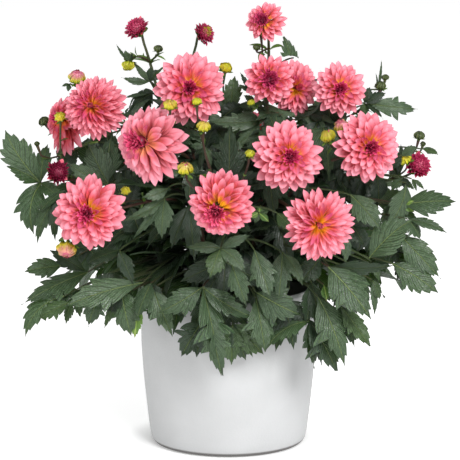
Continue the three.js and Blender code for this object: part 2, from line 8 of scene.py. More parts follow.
import bpy
import numpy as np
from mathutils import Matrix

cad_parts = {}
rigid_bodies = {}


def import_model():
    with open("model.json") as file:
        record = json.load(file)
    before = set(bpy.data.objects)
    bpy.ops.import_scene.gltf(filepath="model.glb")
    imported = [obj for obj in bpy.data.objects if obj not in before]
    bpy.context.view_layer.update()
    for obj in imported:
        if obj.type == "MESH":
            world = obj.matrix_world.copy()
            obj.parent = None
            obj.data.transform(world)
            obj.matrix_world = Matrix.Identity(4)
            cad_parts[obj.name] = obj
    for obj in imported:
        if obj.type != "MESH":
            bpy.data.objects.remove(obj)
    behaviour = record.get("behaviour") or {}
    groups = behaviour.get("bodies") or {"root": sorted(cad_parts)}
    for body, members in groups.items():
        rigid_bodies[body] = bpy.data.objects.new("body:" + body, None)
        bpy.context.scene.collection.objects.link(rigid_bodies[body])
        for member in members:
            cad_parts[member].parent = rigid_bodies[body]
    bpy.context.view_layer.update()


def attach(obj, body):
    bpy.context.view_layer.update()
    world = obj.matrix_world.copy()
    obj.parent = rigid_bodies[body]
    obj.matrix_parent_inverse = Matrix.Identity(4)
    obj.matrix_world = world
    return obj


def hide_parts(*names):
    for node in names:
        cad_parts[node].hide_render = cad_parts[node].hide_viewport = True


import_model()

MM = 0.001
UP = np.array([0.0, 0.0, 1.0])
FULL_TURN = 2 * math.pi
GOLDEN = math.pi * (3 - math.sqrt(5))

# Camera: what it aims at, how far away and how high it stands, and its lens on a square picture
AIM = (1.9, 0, 267)
CAMERA_DISTANCE = 2200
CAMERA_ELEVATION = 8
LENS = 137.7
SENSOR = 36

# The photograph seen through that camera: the pixel above the planter's middle, the lens in pixels, and the
# sine and cosine of the camera's elevation
MIDDLE_PIXEL = (228.5, 230)
LENS_PIXELS = 1760
LOOK_DOWN = 0.139
LOOK_LEVEL = 0.99

# Light from all sides, as a share of white, and two lamps with their aim, place and size in metres
SURROUND = 0.42
LAMP_AIM = (0, 0, 0.3)
KEY_LAMP = {"place": (1.3, -2.6, 2.3), "size": (1.5, 1.5), "power": 125}
FILL_LAMP = {"place": (-2.2, -1.8, 1.0), "size": (1.5, 1.8), "power": 16}
FLOOR_SIZE = 40

# Planter and soil, in rows of [radius, height]
POT_SIDES = 96
POT_BASE = [[60, 1.2], [86, 0.6], [88, 0]]
POT_OUTSIDE = [[89, 0], [95.5, 2.6], [99, 13], [102.4, 40], [107.4, 90], [110, 138], [107.6, 186]]
POT_RIM = [[105, 194.4], [101.6, 196], [98.8, 193]]
POT_INSIDE = [[101, 150], [90, 20], [84, 12]]
POT_FLOOR = [50, 11]
POT_STEPS = 5
SOIL_SIDE = [[84, 12.5], [90, 20], [101, 150]]
SOIL_GAP = 0.9
SOIL_EDGE = 168
SOIL_TOP = 175
SOIL_RINGS = 34
SOIL_LEVEL_FROM = 0.6
CRUMB_HEIGHT = 0.9
HOLE_DEPTH = 30

# Stems: where they leave the soil, how they curve, and their radii and joints
FOOT_RADIUS = 30
FOOT_HEIGHT = 182
FOOT_LEAN = 0.25
FORK_RISE = 0.3
STEM_BEND = 0.36
NECK_BEND = 60
NECK_RISE = 0.25
MAIN_RADIUS = 3.7
BRANCH_RADIUS = 2.6
SLENDER = 1.7
STEM_TAPER = 0.6
JOINT_SWELLING = 1.12
JOINT_WAIST = 0.2
STEM_SHARE = 0.95
MAIN_STEPS = 6
BRANCH_STEPS = 4
STEM_SIDES = 9
STEM_POINTS = 22
STALK_RADIUS = 1.2
STALK_MOUTH = 1.8
STALK_STEP = 0.5
STALK_SIDES = 7
STALK_POINTS = 10

# The cup under a head: its length, and rows of [share of it below the head, share of its width, millimetres
# more]
CUP_LENGTH = 9
CUP_ROWS = [[1, 0, SLENDER], [0.45, 0.5, 1], [0.15, 0.85, 0], [0, 1, 0]]
CUP_SHARE = 0.95
FACE_GAP = 0.3

# Material slots of the foliage
LEAF, STEM, BUD, YOUNG = range(4)

# Leaves: how far they reach over and droop, what they keep clear of, and their stalks
LEAF_DROOP = 0.9
LEAF_MIDDLE = 0.6
ARCH = {"share": 0.5, "fall_share": 0.35, "full_fall": 120, "lift": 22, "length_lift": 0.08}
RISING_ARCH = {"lift": 10, "share": 0.35}
WIDER = 1.08
SHALLOWER = 0.9
BLOOM_MIDDLE = 0.05
BLOOM_CLEARANCE = 5
LEAF_TO_POT = 7
OVER_POT = 60
FIVE_FROM = 150
LEAF_STALK = (1.7, 0.8)
LEAF_STALK_SIDES = 6
LEAF_STALK_POINTS = 14
LEAF_STALK_DROP = 0.7

# Leaflets: root and tip in shares of the leaf, half width and how far the midrib bows
FIVE_LEAFLETS = [
    ((0.34, 0.0), (0.49, 0.355), 0.085, 0.14), ((0.49, 0.0), (0.715, 0.285), 0.08, 0.1),
    ((0.54, 0.0), (1.0, 0.0), 0.115, 0.0),
]
THREE_LEAFLETS = [((0.38, 0.0), (0.57, 0.35), 0.1, 0.13), ((0.45, 0.0), (1.0, 0.0), 0.13, 0.0)]
INNER_LEAFLETS = [((0.2, 0.0), (0.46, 0.42), 0.13, 0.12), ((0.3, 0.0), (1.0, 0.0), 0.16, 0.0)]

# A leaflet's outline: where it is widest, its teeth, and the lobes that the second teeth of some grow to
LEAFLET_COLUMNS = 9
FOOT_ROWS = 4
TEETH = 4
TEETH_FROM = 0.28
TEETH_TO = 0.86
WIDEST = (0.36, 0.5)
WEDGE = (0.95, 1.5)
TAPER = 1.4
LEAST_WIDTH = 0.015
NOTCH = (0.06, 0.2)
TOOTH = (0.02, 0.18)
TOOTH_ROWS = [0, 0.35, 0.65, 0.85]
TOOTH_RISE = 0.7
TOOTH_LEAN = 0.3
TIP_ROWS = [0, 0.35, 0.7, 1]
TIP_REACH = [0.8, 0.9, 1, 1]
LOBED_TOOTH = 1
LOBE_ROWS = [0, 0.28, 0.48, 0.6]
LOBE = (0.2, 0.75)
LOBED_SHARE = 0.5
VEIN_SLANT = 2.6

# A leaflet's relief, as shares of its half width: its fold, pucker, twist and tilt, and how its tip hangs
FOLD = (0.05, 0.55)
PUCKER = 0.06
TWIST = 0.2
TWISTS = 5
TILT = 0.3
HANG = (-0.1, 0.7)

# Paleness of a large leaf, from least to most, and how much more a leaflet of it may have
LEAF_TONE = (0, 0.75)
LEAFLET_TONE = 0.15

# Leafy stems: azimuth, and the leaves on the far side as height on the stem, turn from the stem's azimuth,
# the tip's distance from the axis and its height
SHOOTS = {
    "front": (270, [[280, 1, 70, 405]]),
    "front_right": (315, [[350, -14, 90, 410]]),
    "right": (0, [[222, 14, 220, 190], [256, 18, 215, 250], [300, 16, 220, 320]]),
    "back_right": (45, [
        [210, -8, 200, 116], [226, 9, 236, 150], [248, -4, 250, 206], [280, 12, 240, 250],
        [310, -12, 222, 296], [350, -8, 150, 385],
    ]),
    "back": (90, [
        [210, -10, 196, 118], [222, 8, 232, 148], [242, -4, 250, 200], [268, 14, 236, 240],
        [318, 2, 90, 420],
    ]),
    "back_left": (135, [
        [210, -9, 198, 116], [226, 10, 238, 146], [248, -4, 255, 202], [278, 13, 240, 246],
        [306, -13, 222, 290], [370, -4, 120, 430],
    ]),
    "left": (180, [[222, -14, 215, 190], [256, -18, 215, 250], [292, -16, 215, 320]]),
    "front_left": (225, [[316, -15, 150, 330]]),
}

# Smaller leaves between the large ones, up each stem: how many, how far below its top, and from the lowest
# to the highest their attachment, reach and least and most paleness
INNER_LEAVES = 26
BELOW_TOP = 40
INNER_ATTACH = (208, 430)
INNER_REACH = (150, 80)
INNER_SPREAD = (0.75, 1.1)
INNER_TURN = (2, 26)
INNER_RISE = (-60, 30)
INNER_ROLL = 30
# Paleness below nought paints the lower leaves in shade
INNER_LEAST = (-1, 0)
INNER_MOST = (0, 1)
OUTER_SHOOTS = {"left": 1.35, "right": 1.35}

# Leaves seen from the front: how far their stalks and leaflets arch, and the way that they face
FRONT_STALK = (1.7, 0.9)
STALK_LIFT = 18
LEAFLET_RISE = 0.12
LEAFLET_ROLL = 15
FACING = np.array([0.0, -0.75, 0.55])
FACING_OUT = 0.35

# A leaflet's paleness and freshness, and the material slot it has
# The darkest tone paints a leaflet in shade, and the two palest paint a sheen on it
IN_SHADE, PLAIN, PALE_SHEEN, STRONG_SHEEN = (-0.55, 0, LEAF), (0.35, 0.1, LEAF), (0.9, 0, LEAF), (1.4, 0.1, LEAF)
FRESH, BRIGHT = (0.35, 0.5, LEAF), (0.5, 1, YOUNG)
TONE_SPREAD = (-0.2, 0.15)

# Leaves seen from the front, by leafy stem. Places are pixels of the photograph, with a depth in millimetres
# behind the plant's middle. A row has the height on the stem, the pixel and depth where the leaflets part,
# and each leaflet's tip as pixel and depth, its half width in pixels and, where they aren't plain and
# straight, its tone, bow and lobes
SPRAYS = {
    "left": [
        (330, 41, 183, -35, [(5, 130, -70, 16, PALE_SHEEN, 0.08), (9, 166, -60, 10, PLAIN, -0.05),
            (34, 235, -70, 15, PLAIN, -0.2, 0.3), (46, 142, -10, 9), (62, 199, -70, 8)]),
        (290, 67, 189, -60, [(36, 212, -90, 7), (37, 245, -90, 9, PLAIN, -0.15),
            (54, 242, -100, 7, IN_SHADE, -0.1), (42, 228, -80, 8, IN_SHADE)]),
        (345, 108, 184, -40, [(67, 162, -50, 9, PALE_SHEEN, 0.1), (87, 142, -20, 14, PALE_SHEEN, 0, 0.1),
            (110, 136, -10, 12)]),
        (320, 68, 180, -10, [(63, 130, 0, 9, IN_SHADE), (78, 134, -5, 8, IN_SHADE)]),
        (330, 98, 142, -10, [(73, 152, -20, 4, BRIGHT, -0.15)]),
        (400, 153, 93, 0, [(130, 106, -5, 8, IN_SHADE), (142, 114, 0, 6, IN_SHADE), (124, 98, 0, 4),
            (123, 118, 0, 6, IN_SHADE)]),
        (385, 146, 120, 0, [(123, 113, -5, 6), (136, 108, 0, 6, IN_SHADE)]),
        (360, 70, 84, -25, [(61, 86, -28, 2), (68, 92, -28, 2.5)]),
        (415, 150, 82, 0, [(121, 77, -10, 4, PALE_SHEEN, 0.2), (134, 64, 0, 3.5, PALE_SHEEN), (143, 70, 5, 3, IN_SHADE),
            (158, 68, 5, 6, IN_SHADE), (150, 66, 5, 4, IN_SHADE), (168, 63, 5, 2, FRESH)]),
        (430, 130, 62, 0, [(116, 44, -5, 1.5, PLAIN, 0.1), (124, 50, -5, 3), (133, 53, -5, 2.5, IN_SHADE)]),
        (290, 63, 266, -70, [(23, 272, -90, 10, PALE_SHEEN)]),
        (262, 88, 272, -70, [(50, 250, -80, 8, IN_SHADE), (21, 304, -110, 16, PLAIN, 0, 0.25)]),
        (240, 64, 296, -100, [(25, 338, -120, 12, PLAIN, -0.3, 0.1)]),
        (226, 72, 302, -110, [(37, 319, -120, 9, FRESH, 0, 0.3), (66, 324, -115, 6, FRESH)]),
        (340, 110, 176, 5, [(72, 132, 0, 12, IN_SHADE), (92, 124, 10, 12, IN_SHADE), (108, 122, 10, 12, IN_SHADE),
            (84, 170, -10, 9, IN_SHADE), (126, 140, 10, 10, IN_SHADE)]),
        (330, 84, 186, -10, [(60, 160, 0, 8, IN_SHADE), (48, 192, -20, 8, IN_SHADE), (56, 206, -30, 8, IN_SHADE)]),
        (270, 90, 250, -40, [(60, 262, -50, 9, IN_SHADE), (66, 244, -40, 9, IN_SHADE), (74, 284, -55, 9, IN_SHADE),
            (104, 268, -50, 10, IN_SHADE)]),
        (245, 80, 290, -70, [(44, 296, -90, 10), (52, 312, -95, 9, IN_SHADE), (78, 316, -90, 8)]),
    ],
    "front_left": [
        (250, 143, 283, -110, [(64, 304, -160, 15, PALE_SHEEN, 0, 0.25)]),
        (226, 102, 292, -120, [(86, 327, -130, 10, PLAIN, 0, 0.2)]),
        (220, 119, 298, -108, [(103, 329, -112, 5, FRESH)]),
        (214, 121, 288, -105, [(130, 337, -125, 15, PLAIN, 0, 0.3), (106, 320, -115, 8, IN_SHADE, 0, 0.2)]),
        (212, 139, 303, -110, [(135, 339, -118, 7, BRIGHT)]),
        (222, 151, 283, -112, [(136, 319, -135, 10), (158, 305, -125, 8, IN_SHADE)]),
        (300, 165, 198, -110, [(160, 238, -135, 10, PALE_SHEEN), (121, 220, -125, 6, PALE_SHEEN, 0.2),
            (131, 239, -120, 4, PLAIN, 0.1)]),
        (312, 169, 187, -112, [(142, 197, -130, 6, PALE_SHEEN, 0.2)]),
        (330, 183, 171, -90, [(161, 173, -100, 5, PALE_SHEEN, 0.1)]),
        (285, 120, 250, -100, [(134, 285, -120, 8, IN_SHADE), (88, 262, -130, 9, IN_SHADE)]),
        (240, 128, 282, -90, [(100, 300, -100, 10, IN_SHADE), (112, 316, -100, 9), (88, 282, -95, 9, IN_SHADE),
            (124, 312, -105, 8, IN_SHADE)]),
        (222, 160, 292, -100, [(148, 318, -116, 8, IN_SHADE), (164, 326, -120, 9, IN_SHADE, 0, 0.2),
            (186, 316, -124, 9, IN_SHADE, 0, 0.2)]),
    ],
    "front": [
        (216, 206, 318, -158, [(222, 376, -168, 11, PLAIN, 0.05, 0.3)]),
        (300, 277, 213, -125, [(301, 238, -150, 9, FRESH, 0, 0.1)]),
        (305, 259, 213, -118, [(250, 217, -121, 3, BRIGHT), (261, 206, -121, 3, BRIGHT),
            (269, 222, -123, 3, BRIGHT), (255, 223, -122, 3, FRESH), (271, 208, -121, 3, FRESH)]),
        (310, 266, 184, -60, [(272, 209, -80, 8)]),
        (232, 153, 289, -118, [(173, 337, -137, 12, PALE_SHEEN, 0, 0.3)]),
        (216, 203, 287, -150, [(225, 377, -170, 13, PLAIN, 0, 0.9), (156, 313, -165, 12, PLAIN, 0.1, 0.1),
            (259, 317, -150, 11, PLAIN, -0.15, 0.1)]),
        (214, 203, 320, -128, [(179, 358, -140, 14, IN_SHADE, 0, 0.5), (196, 357, -136, 12, IN_SHADE, 0, 0.3),
            (210, 354, -134, 10, IN_SHADE, 0, 0.2)]),
        (212, 233, 324, -130, [(264, 354, -134, 14, FRESH, 0, 0.3), (246, 362, -135, 12, IN_SHADE, 0, 0.2),
            (232, 364, -134, 10, FRESH, 0, 0.2), (254, 358, -136, 8, FRESH, 0, 0.2)]),
        (252, 232, 265, -172, [(247, 307, -190, 10, PLAIN, 0, 0.1)]),
        (272, 221, 248, -165, [(209, 277, -185, 10, FRESH), (246, 273, -185, 8, PALE_SHEEN, 0.1),
            (185, 247, -172, 6), (251, 235, -160, 5)]),
        (222, 256, 297, -135, [(266, 352, -150, 14, PLAIN, 0, 0.4)]),
        (216, 310, 321, -120, [(265, 348, -143, 12, PLAIN, -0.25)]),
        (236, 256, 292, -140, [(304, 314, -150, 15, PLAIN, -0.1, 0.2)]),
        (268, 254, 250, -150, [(271, 299, -175, 11, PALE_SHEEN, 0, 0.3)]),
        (262, 282, 252, -145, [(279, 301, -168, 10, PLAIN, 0, 0.2), (303, 285, -158, 7, PALE_SHEEN, 0.1)]),
        (218, 212, 292, -112, [(192, 330, -122, 11, IN_SHADE, 0, 0.2), (212, 342, -124, 11, IN_SHADE, 0, 0.2),
            (232, 338, -126, 11, IN_SHADE, 0, 0.2), (252, 328, -126, 11, IN_SHADE, 0, 0.2)]),
        (224, 284, 300, -112, [(276, 352, -128, 12, IN_SHADE, 0, 0.2), (294, 350, -128, 11, IN_SHADE, 0, 0.2),
            (308, 322, -124, 9, IN_SHADE, 0, 0.2)]),
        (250, 225, 262, -120, [(204, 300, -135, 10, IN_SHADE), (224, 300, -140, 9, IN_SHADE),
            (270, 290, -135, 10, IN_SHADE), (180, 282, -130, 10, IN_SHADE)]),
        (300, 190, 205, -100, [(170, 250, -120, 9, IN_SHADE), (195, 262, -130, 9, IN_SHADE)]),
    ],
    "front_right": [
        (276, 322, 256, -130, [(300, 283, -150, 11, IN_SHADE)]),
        (238, 318, 297, -130, [(350, 366, -150, 15, PLAIN, 0, 0.6)]),
        (212, 309, 320, -120, [(337, 371, -130, 14, IN_SHADE, 0, 0.5), (315, 369, -128, 10, IN_SHADE, 0, 0.2),
            (323, 366, -129, 8, IN_SHADE, 0, 0.2)]),
        (224, 340, 304, -120, [(371, 346, -130, 13, FRESH, -0.05, 0.1), (355, 347, -126, 9, IN_SHADE)]),
        (256, 328, 267, -140, [(374, 319, -165, 20, PLAIN, 0, 0.25)]),
        (240, 324, 285, -135, [(328, 301, -140, 5, BRIGHT)]),
        (262, 372, 264, -100, [(381, 283, -105, 3, FRESH)]),
        (250, 372, 279, -110, [(381, 300, -112, 6, FRESH), (376, 314, -112, 6)]),
        (300, 329, 266, -122, [(396, 265, -140, 7, IN_SHADE, -0.12)]),
        (276, 369, 259, -110, [(413, 219, -130, 16, PALE_SHEEN, 0.1)]),
        (312, 351, 195, -90, [(381, 230, -120, 13, PALE_SHEEN)]),
        (300, 345, 234, -135, [(347, 264, -145, 6, PALE_SHEEN)]),
        (262, 350, 264, -95, [(334, 310, -110, 11, IN_SHADE), (352, 312, -105, 11, IN_SHADE), (370, 308, -100, 9),
            (330, 290, -112, 8, IN_SHADE)]),
        (232, 332, 306, -100, [(326, 340, -112, 9, IN_SHADE), (348, 336, -110, 10, IN_SHADE),
            (360, 342, -108, 8, IN_SHADE), (318, 322, -112, 7, IN_SHADE)]),
        (240, 312, 282, -112, [(307, 328, -124, 9, IN_SHADE, 0, 0.1), (320, 332, -122, 9, IN_SHADE, 0, 0.1)]),
        (290, 358, 252, -70, [(352, 222, -75, 9, IN_SHADE), (364, 226, -75, 9, IN_SHADE),
            (346, 240, -80, 8, IN_SHADE)]),
        (300, 352, 226, -80, [(340, 252, -95, 8, IN_SHADE), (366, 246, -90, 9, IN_SHADE),
            (372, 212, -80, 9, IN_SHADE)]),
    ],
    "right": [
        (240, 392, 263, -70, [(439, 292, -80, 15)]),
        (256, 400, 235, -60, [(441, 279, -70, 13, PLAIN, -0.06)]),
        (282, 407, 219, -60, [(448, 232, -70, 6, PLAIN, 0.04), (424, 240, -65, 10, PLAIN, 0, 0.2)]),
        (300, 402, 205, -50, [(458, 199, -60, 15), (404, 196, -52, 3, BRIGHT), (416, 212, -54, 3, BRIGHT),
            (414, 200, -54, 3, BRIGHT)]),
        (322, 402, 178, -45, [(390, 190, -48, 5), (411, 185, -48, 4, IN_SHADE)]),
        (322, 412, 178, -50, [(424, 190, -54, 2.5, FRESH), (417, 192, -54, 2.5, FRESH)]),
        (320, 406, 183, -50, [(385, 230, -60, 12, PLAIN, 0.18)]),
        (330, 398, 178, -30, [(402, 144, -30, 6, IN_SHADE), (390, 164, -30, 6, IN_SHADE), (416, 190, -40, 4, FRESH),
            (408, 192, -40, 4, IN_SHADE)]),
        (375, 368, 104, 0, [(420, 108, 10, 9, PALE_SHEEN, -0.1, 0.45)]),
        (385, 364, 103, 0, [(387, 92, 0, 6, IN_SHADE), (370, 87, 0, 6, IN_SHADE), (385, 118, 0, 5, IN_SHADE),
            (366, 116, 0, 6, FRESH)]),
        (430, 378, 90, 2, [(382, 58, 2, 2), (376, 73, 2, 1.5), (386, 84, 2, 3, IN_SHADE)]),
        (345, 402, 156, -55, [(417, 146, -60, 5, PALE_SHEEN, 0.1), (390, 170, -55, 4, IN_SHADE)]),
        (352, 422, 149, -25, [(438, 155, -30, 5, FRESH, 0.15)]),
        (345, 352, 148, -10, [(338, 170, -20, 9, IN_SHADE), (345, 126, -5, 10, IN_SHADE), (358, 112, -5, 8),
            (330, 132, -5, 9, IN_SHADE)]),
        (290, 382, 240, -30, [(404, 264, -45, 10), (416, 240, -45, 10, IN_SHADE), (412, 222, -40, 9, IN_SHADE),
            (392, 214, -40, 9)]),
        (320, 378, 205, -20, [(402, 190, -30, 9), (410, 208, -35, 8, IN_SHADE), (378, 170, -20, 9, IN_SHADE),
            (366, 182, -20, 9, IN_SHADE), (362, 215, -30, 9, IN_SHADE)]),
        (270, 396, 258, -35, [(406, 286, -48, 9, IN_SHADE), (414, 276, -52, 7, IN_SHADE), (418, 248, -52, 7, IN_SHADE),
            (404, 246, -50, 6)]),
        (300, 396, 206, -38, [(418, 222, -48, 6), (380, 224, -44, 7)]),
        (262, 372, 262, -40, [(386, 272, -60, 8, IN_SHADE), (404, 252, -50, 9, IN_SHADE)]),
    ],
    "back_right": [
        (470, 294, 78, 16, [(286, 35, 22, 11)]),
        (430, 311, 85, 14, [(311, 70, 15, 2)]),
        (400, 333, 109, 20, [(288, 121, 8, 10, STRONG_SHEEN, -0.05, 0.2), (300, 108, 12, 8, STRONG_SHEEN),
            (312, 103, 15, 5, IN_SHADE), (344, 120, 10, 7, IN_SHADE)]),
        (395, 326, 113, 50, [(284, 111, 55, 13, STRONG_SHEEN, 0.05, 0.2), (292, 124, 50, 10), (312, 99, 55, 8),
            (306, 124, 45, 9, PALE_SHEEN), (322, 130, 40, 9)]),
        (330, 256, 176, -15, [(253, 198, -20, 8, IN_SHADE), (262, 196, -20, 8, IN_SHADE)]),
        (330, 300, 176, -30, [(296, 200, -40, 9, IN_SHADE), (306, 196, -40, 8, IN_SHADE)]),
        (390, 306, 112, 10, [(320, 104, 5, 6), (284, 106, 0, 8), (318, 126, 0, 8, STRONG_SHEEN),
            (330, 120, 0, 8, IN_SHADE)]),
        (350, 338, 150, -12, [(322, 176, -18, 9, IN_SHADE), (336, 180, -18, 8, IN_SHADE)]),
        (335, 352, 204, -14, [(349, 166, -18, 9, IN_SHADE), (363, 168, -18, 9, IN_SHADE),
            (344, 224, -18, 8, IN_SHADE)]),
        (310, 374, 226, -25, [(367, 256, -32, 9, IN_SHADE)]),
        (340, 330, 200, -20, [(328, 162, -20, 10, IN_SHADE), (342, 166, -20, 10, IN_SHADE),
            (318, 178, -25, 9, IN_SHADE), (350, 186, -25, 9)]),
        (380, 322, 142, 10, [(298, 106, 10, 10, IN_SHADE), (314, 100, 10, 9), (332, 104, 8, 10, IN_SHADE),
            (347, 112, 8, 9), (353, 126, 5, 8, IN_SHADE)]),
        (350, 366, 206, -10, [(352, 178, -15, 9, IN_SHADE), (370, 172, -15, 9, IN_SHADE), (388, 184, -20, 9, IN_SHADE),
            (346, 192, -15, 8, IN_SHADE)]),
        (385, 318, 122, 0, [(304, 146, -20, 9, IN_SHADE), (334, 138, -10, 9, IN_SHADE)]),
        (380, 229, 118, 5, [(234, 75, 8, 9, FRESH), (246, 102, 5, 8, FRESH), (216, 92, 10, 8, IN_SHADE)]),
        (392, 260, 121, -20, [(208, 122, -30, 8, STRONG_SHEEN, 0.12, 0.2), (234, 146, -32, 8, STRONG_SHEEN, 0.1),
            (238, 114, -25, 6, STRONG_SHEEN, -0.1)]),
        (400, 255, 104, -5, [(244, 94, -5, 4), (238, 106, -5, 6, STRONG_SHEEN), (240, 116, -8, 6, PALE_SHEEN)]),
        (400, 253, 95, 0, [(237, 84, 0, 3, PALE_SHEEN), (241, 71, 0, 3, IN_SHADE, 0.1)]),
        (395, 265, 107, -10, [(288, 128, -40, 9, STRONG_SHEEN), (298, 116, -20, 8, STRONG_SHEEN, 0.05)]),
    ],
    "back_left": [
        (360, 182, 130, -20, [(168, 118, -25, 7, IN_SHADE), (196, 150, -30, 8, IN_SHADE)]),
        (380, 222, 118, -5, [(244, 104, 0, 9, IN_SHADE), (232, 112, -5, 8), (206, 134, -10, 9, IN_SHADE)]),
        (370, 215, 128, -10, [(205, 150, -30, 9, IN_SHADE), (232, 152, -30, 10, IN_SHADE)]),
        (330, 126, 206, -30, [(108, 166, -30, 11, IN_SHADE), (126, 166, -30, 11, IN_SHADE),
            (140, 178, -30, 10, IN_SHADE), (112, 196, -35, 9, IN_SHADE), (150, 192, -35, 9)]),
        (300, 140, 232, -40, [(118, 216, -45, 10, IN_SHADE), (130, 206, -45, 10, IN_SHADE),
            (150, 208, -45, 10, IN_SHADE)]),
        (330, 230, 148, -60, [(216, 160, -66, 4, STRONG_SHEEN, 0.1), (222, 172, -70, 4),
            (236, 168, -68, 4, PLAIN, -0.1), (248, 162, -62, 4, PALE_SHEEN), (244, 144, -60, 4, STRONG_SHEEN),
            (212, 146, -60, 4)]),
        (340, 205, 146, -50, [(194, 156, -56, 4), (210, 168, -60, 4, STRONG_SHEEN, 0.1), (199, 172, -58, 4),
            (190, 146, -50, 4, PALE_SHEEN)]),
        (340, 204, 118, -20, [(192, 132, -26, 6), (210, 112, -20, 6), (222, 116, -20, 5, PALE_SHEEN)]),
        (345, 194, 140, -5, [(186, 158, -10, 8, IN_SHADE)]),
        (345, 204, 148, -10, [(196, 178, -15, 9, IN_SHADE), (210, 176, -15, 9), (190, 160, -10, 8, IN_SHADE)]),
        (345, 252, 150, -10, [(241, 178, -15, 9), (256, 180, -15, 9, IN_SHADE)]),
        (330, 262, 200, -20, [(247, 226, -28, 8, IN_SHADE), (238, 208, -22, 8, IN_SHADE)]),
        (352, 222, 176, -20, [(208, 140, -20, 9, IN_SHADE), (214, 158, -20, 8, IN_SHADE)]),
    ],
    "back": [
        (372, 276, 124, 20, [(255, 106, 22, 8, IN_SHADE), (291, 117, 22, 8, IN_SHADE), (262, 112, 15, 6)]),
        (360, 312, 138, 20, [(297, 121, 22, 9, IN_SHADE), (306, 126, 20, 6)]),
        (335, 208, 206, 0, [(196, 177, -5, 9, IN_SHADE), (182, 203, -5, 8, IN_SHADE)]),
        (320, 262, 240, 0, [(251, 216, 0, 9, IN_SHADE)]),
        (360, 232, 148, 10, [(250, 128, 0, 9, IN_SHADE), (222, 175, -10, 10, IN_SHADE)]),
    ],
}

# Blooms, half-open heads and buds: leafy stem, centre, radius, how many degrees it faces to the right and
# up, and the head whose stem it forks from, with the joint
HEADS = {
    "bloom_3": ("front_left", (-47, -60, 446), 44, 2, 8),
    "bloom_1": ("front_left", (-159, -72, 425), 38, -10, 12, "bloom_3", 3),
    "bloom_4": ("front_left", (-94, -112, 386), 43, -38, 5, "bloom_3", 3),
    "bloom_5": ("front_left", (-162, -150, 308), 42, -5, 5, "bloom_3", 2),
    "bloom_6": ("front", (-8, -190, 324), 38, -10, -12),
    "bloom_8": ("front_right", (49, -52, 457), 31, 0, 8),
    "bloom_11": ("front_right", (68, -142, 372), 42, 8, 8, "bloom_8", 3),
    "bloom_13": ("front_right", (104, -186, 300), 43, 12, -2, "bloom_8", 2),
    "bloom_12": ("front_right", (164, -82, 378), 41, 12, 6, "bloom_8", 2),
    "bloom_10": ("right", (136, -20, 443), 33, 3, 10),
    "bloom_9": ("right", (80, 12, 444), 35, 25, 5, "bloom_10", 3),
    "bloom_7": ("back_right", (46, 20, 525), 25, -12, 15),
    "bloom_16": ("back_right", (150, 140, 351), 40, 140, 25, "bloom_7", 2),
    "bloom_15": ("back", (35, 178, 368), 41, 172, 28),
    "bloom_14": ("back_left", (-112, 150, 356), 40, 215, 22, "opening_2", 2),
    "bloom_2": ("left", (-200, -10, 405), 32, -50, 15, "opening_1", 3),
    "opening_1": ("left", (-113, 10, 517), 14, -32, 40),
    "opening_2": ("back_left", (-31, 30, 510), 13, 40, 25),
    "opening_3": ("left", (-207, -62, 346), 13, 20, 20, "opening_1", 2),
    "opening_4": ("right", (231, -40, 352), 15, 15, 30, "bloom_10", 2),
    "bud_1": ("left", (-185, -28, 460), 9, 10, 60, "opening_1", 3),
    "bud_2": ("left", (-124, 2, 471), 7, 0, -60, "opening_1", 5),
    "bud_3": ("left", (-87, 12, 493), 5, 0, 70, "opening_1", 5),
    "bud_4": ("left", (-203, -62, 414), 6, 0, 40, "opening_3", 3),
    "bud_5": ("left", (-232, 25, 402), 6, -60, 60, "bloom_2", 2),
    "bud_6": ("front_left", (-68, -124, 433), 7, 0, 60, "bloom_4", 3),
    "bud_7": ("front", (-37, -118, 436), 5, 0, 70, "bud_8", 1),
    "bud_8": ("front", (-29, -130, 408), 7, 10, 60, "bloom_6", 3),
    "bud_9": ("front", (-50, -152, 361), 8, 0, 60, "bloom_6", 4),
    "bud_10": ("back", (-3, 22, 469), 7, 20, 50, "bloom_15", 2),
    "bud_11": ("front_left", (-121, -128, 332), 5, 0, 45, "bloom_5", 3),
    "bud_13": ("front_left", (-190, -142, 263), 10, 0, -40, "bloom_5", 2),
    "bud_14": ("front_right", (27, -62, 431), 4, -20, 60, "bloom_8", 5),
    "bud_16": ("front_right", (119, -74, 392), 8, -25, 62, "bloom_12", 3),
    "bud_18": ("right", (214, -50, 362), 7, -30, 40, "opening_4", 3),
    "bud_19": ("right", (235, -18, 388), 6, 20, 75, "opening_4", 2),
    "bud_21": ("right", (188, 2, 448), 6, 10, 75, "bloom_10", 4),
    "bud_22": ("front", (25, -150, 378), 5, 10, 60, "bloom_6", 4),
    "bud_23": ("back_left", (-62, 118, 438), 7, 200, 65, "opening_2", 4),
    "bud_24": ("back_right", (104, 118, 430), 7, 150, 65, "bloom_7", 4),
    "bud_25": ("back_right", (35, 18, 494), 4, 0, 70, "bloom_7", 5),
    "bud_26": ("left", (-125, 2, 484), 4, -20, 60, "bud_2", 1),
    "bud_27": ("right", (194, 4, 458), 4, 20, 80, "bud_21", 1),
    "bud_28": ("left", (-234, -35, 379), 3, -20, 80, "bloom_2", 1),
    "bud_29": ("right", (240, -15, 377), 3, 20, 70, "bud_19", 1),
    "bud_30": ("front_right", (135, -68, 404), 8, -20, 50, "bloom_12", 3),
    "bud_31": ("back_right", (40, 32, 513), 5, -20, 70, "bloom_7", 3),
}

# Backs of the heads, as shares of the head's radius
BACKS = {"bloom": {"radius": 0.22, "height": -0.24}, "opening": {"radius": 0.5, "height": -0.34}}
BUD_NECK = 0.9

# Rows and columns of the blades, the smaller ones for hearts, florets and bracts, and of the cores
PETAL_BLADE = (13, 7)
FIRST_BLADE = (10, 7)
SHELL_BLADE = (12, 7)
SMALL_BLADE = (9, 5)
BUD_BLADE = (8, 5)
CORE_GRID = (6, 12)

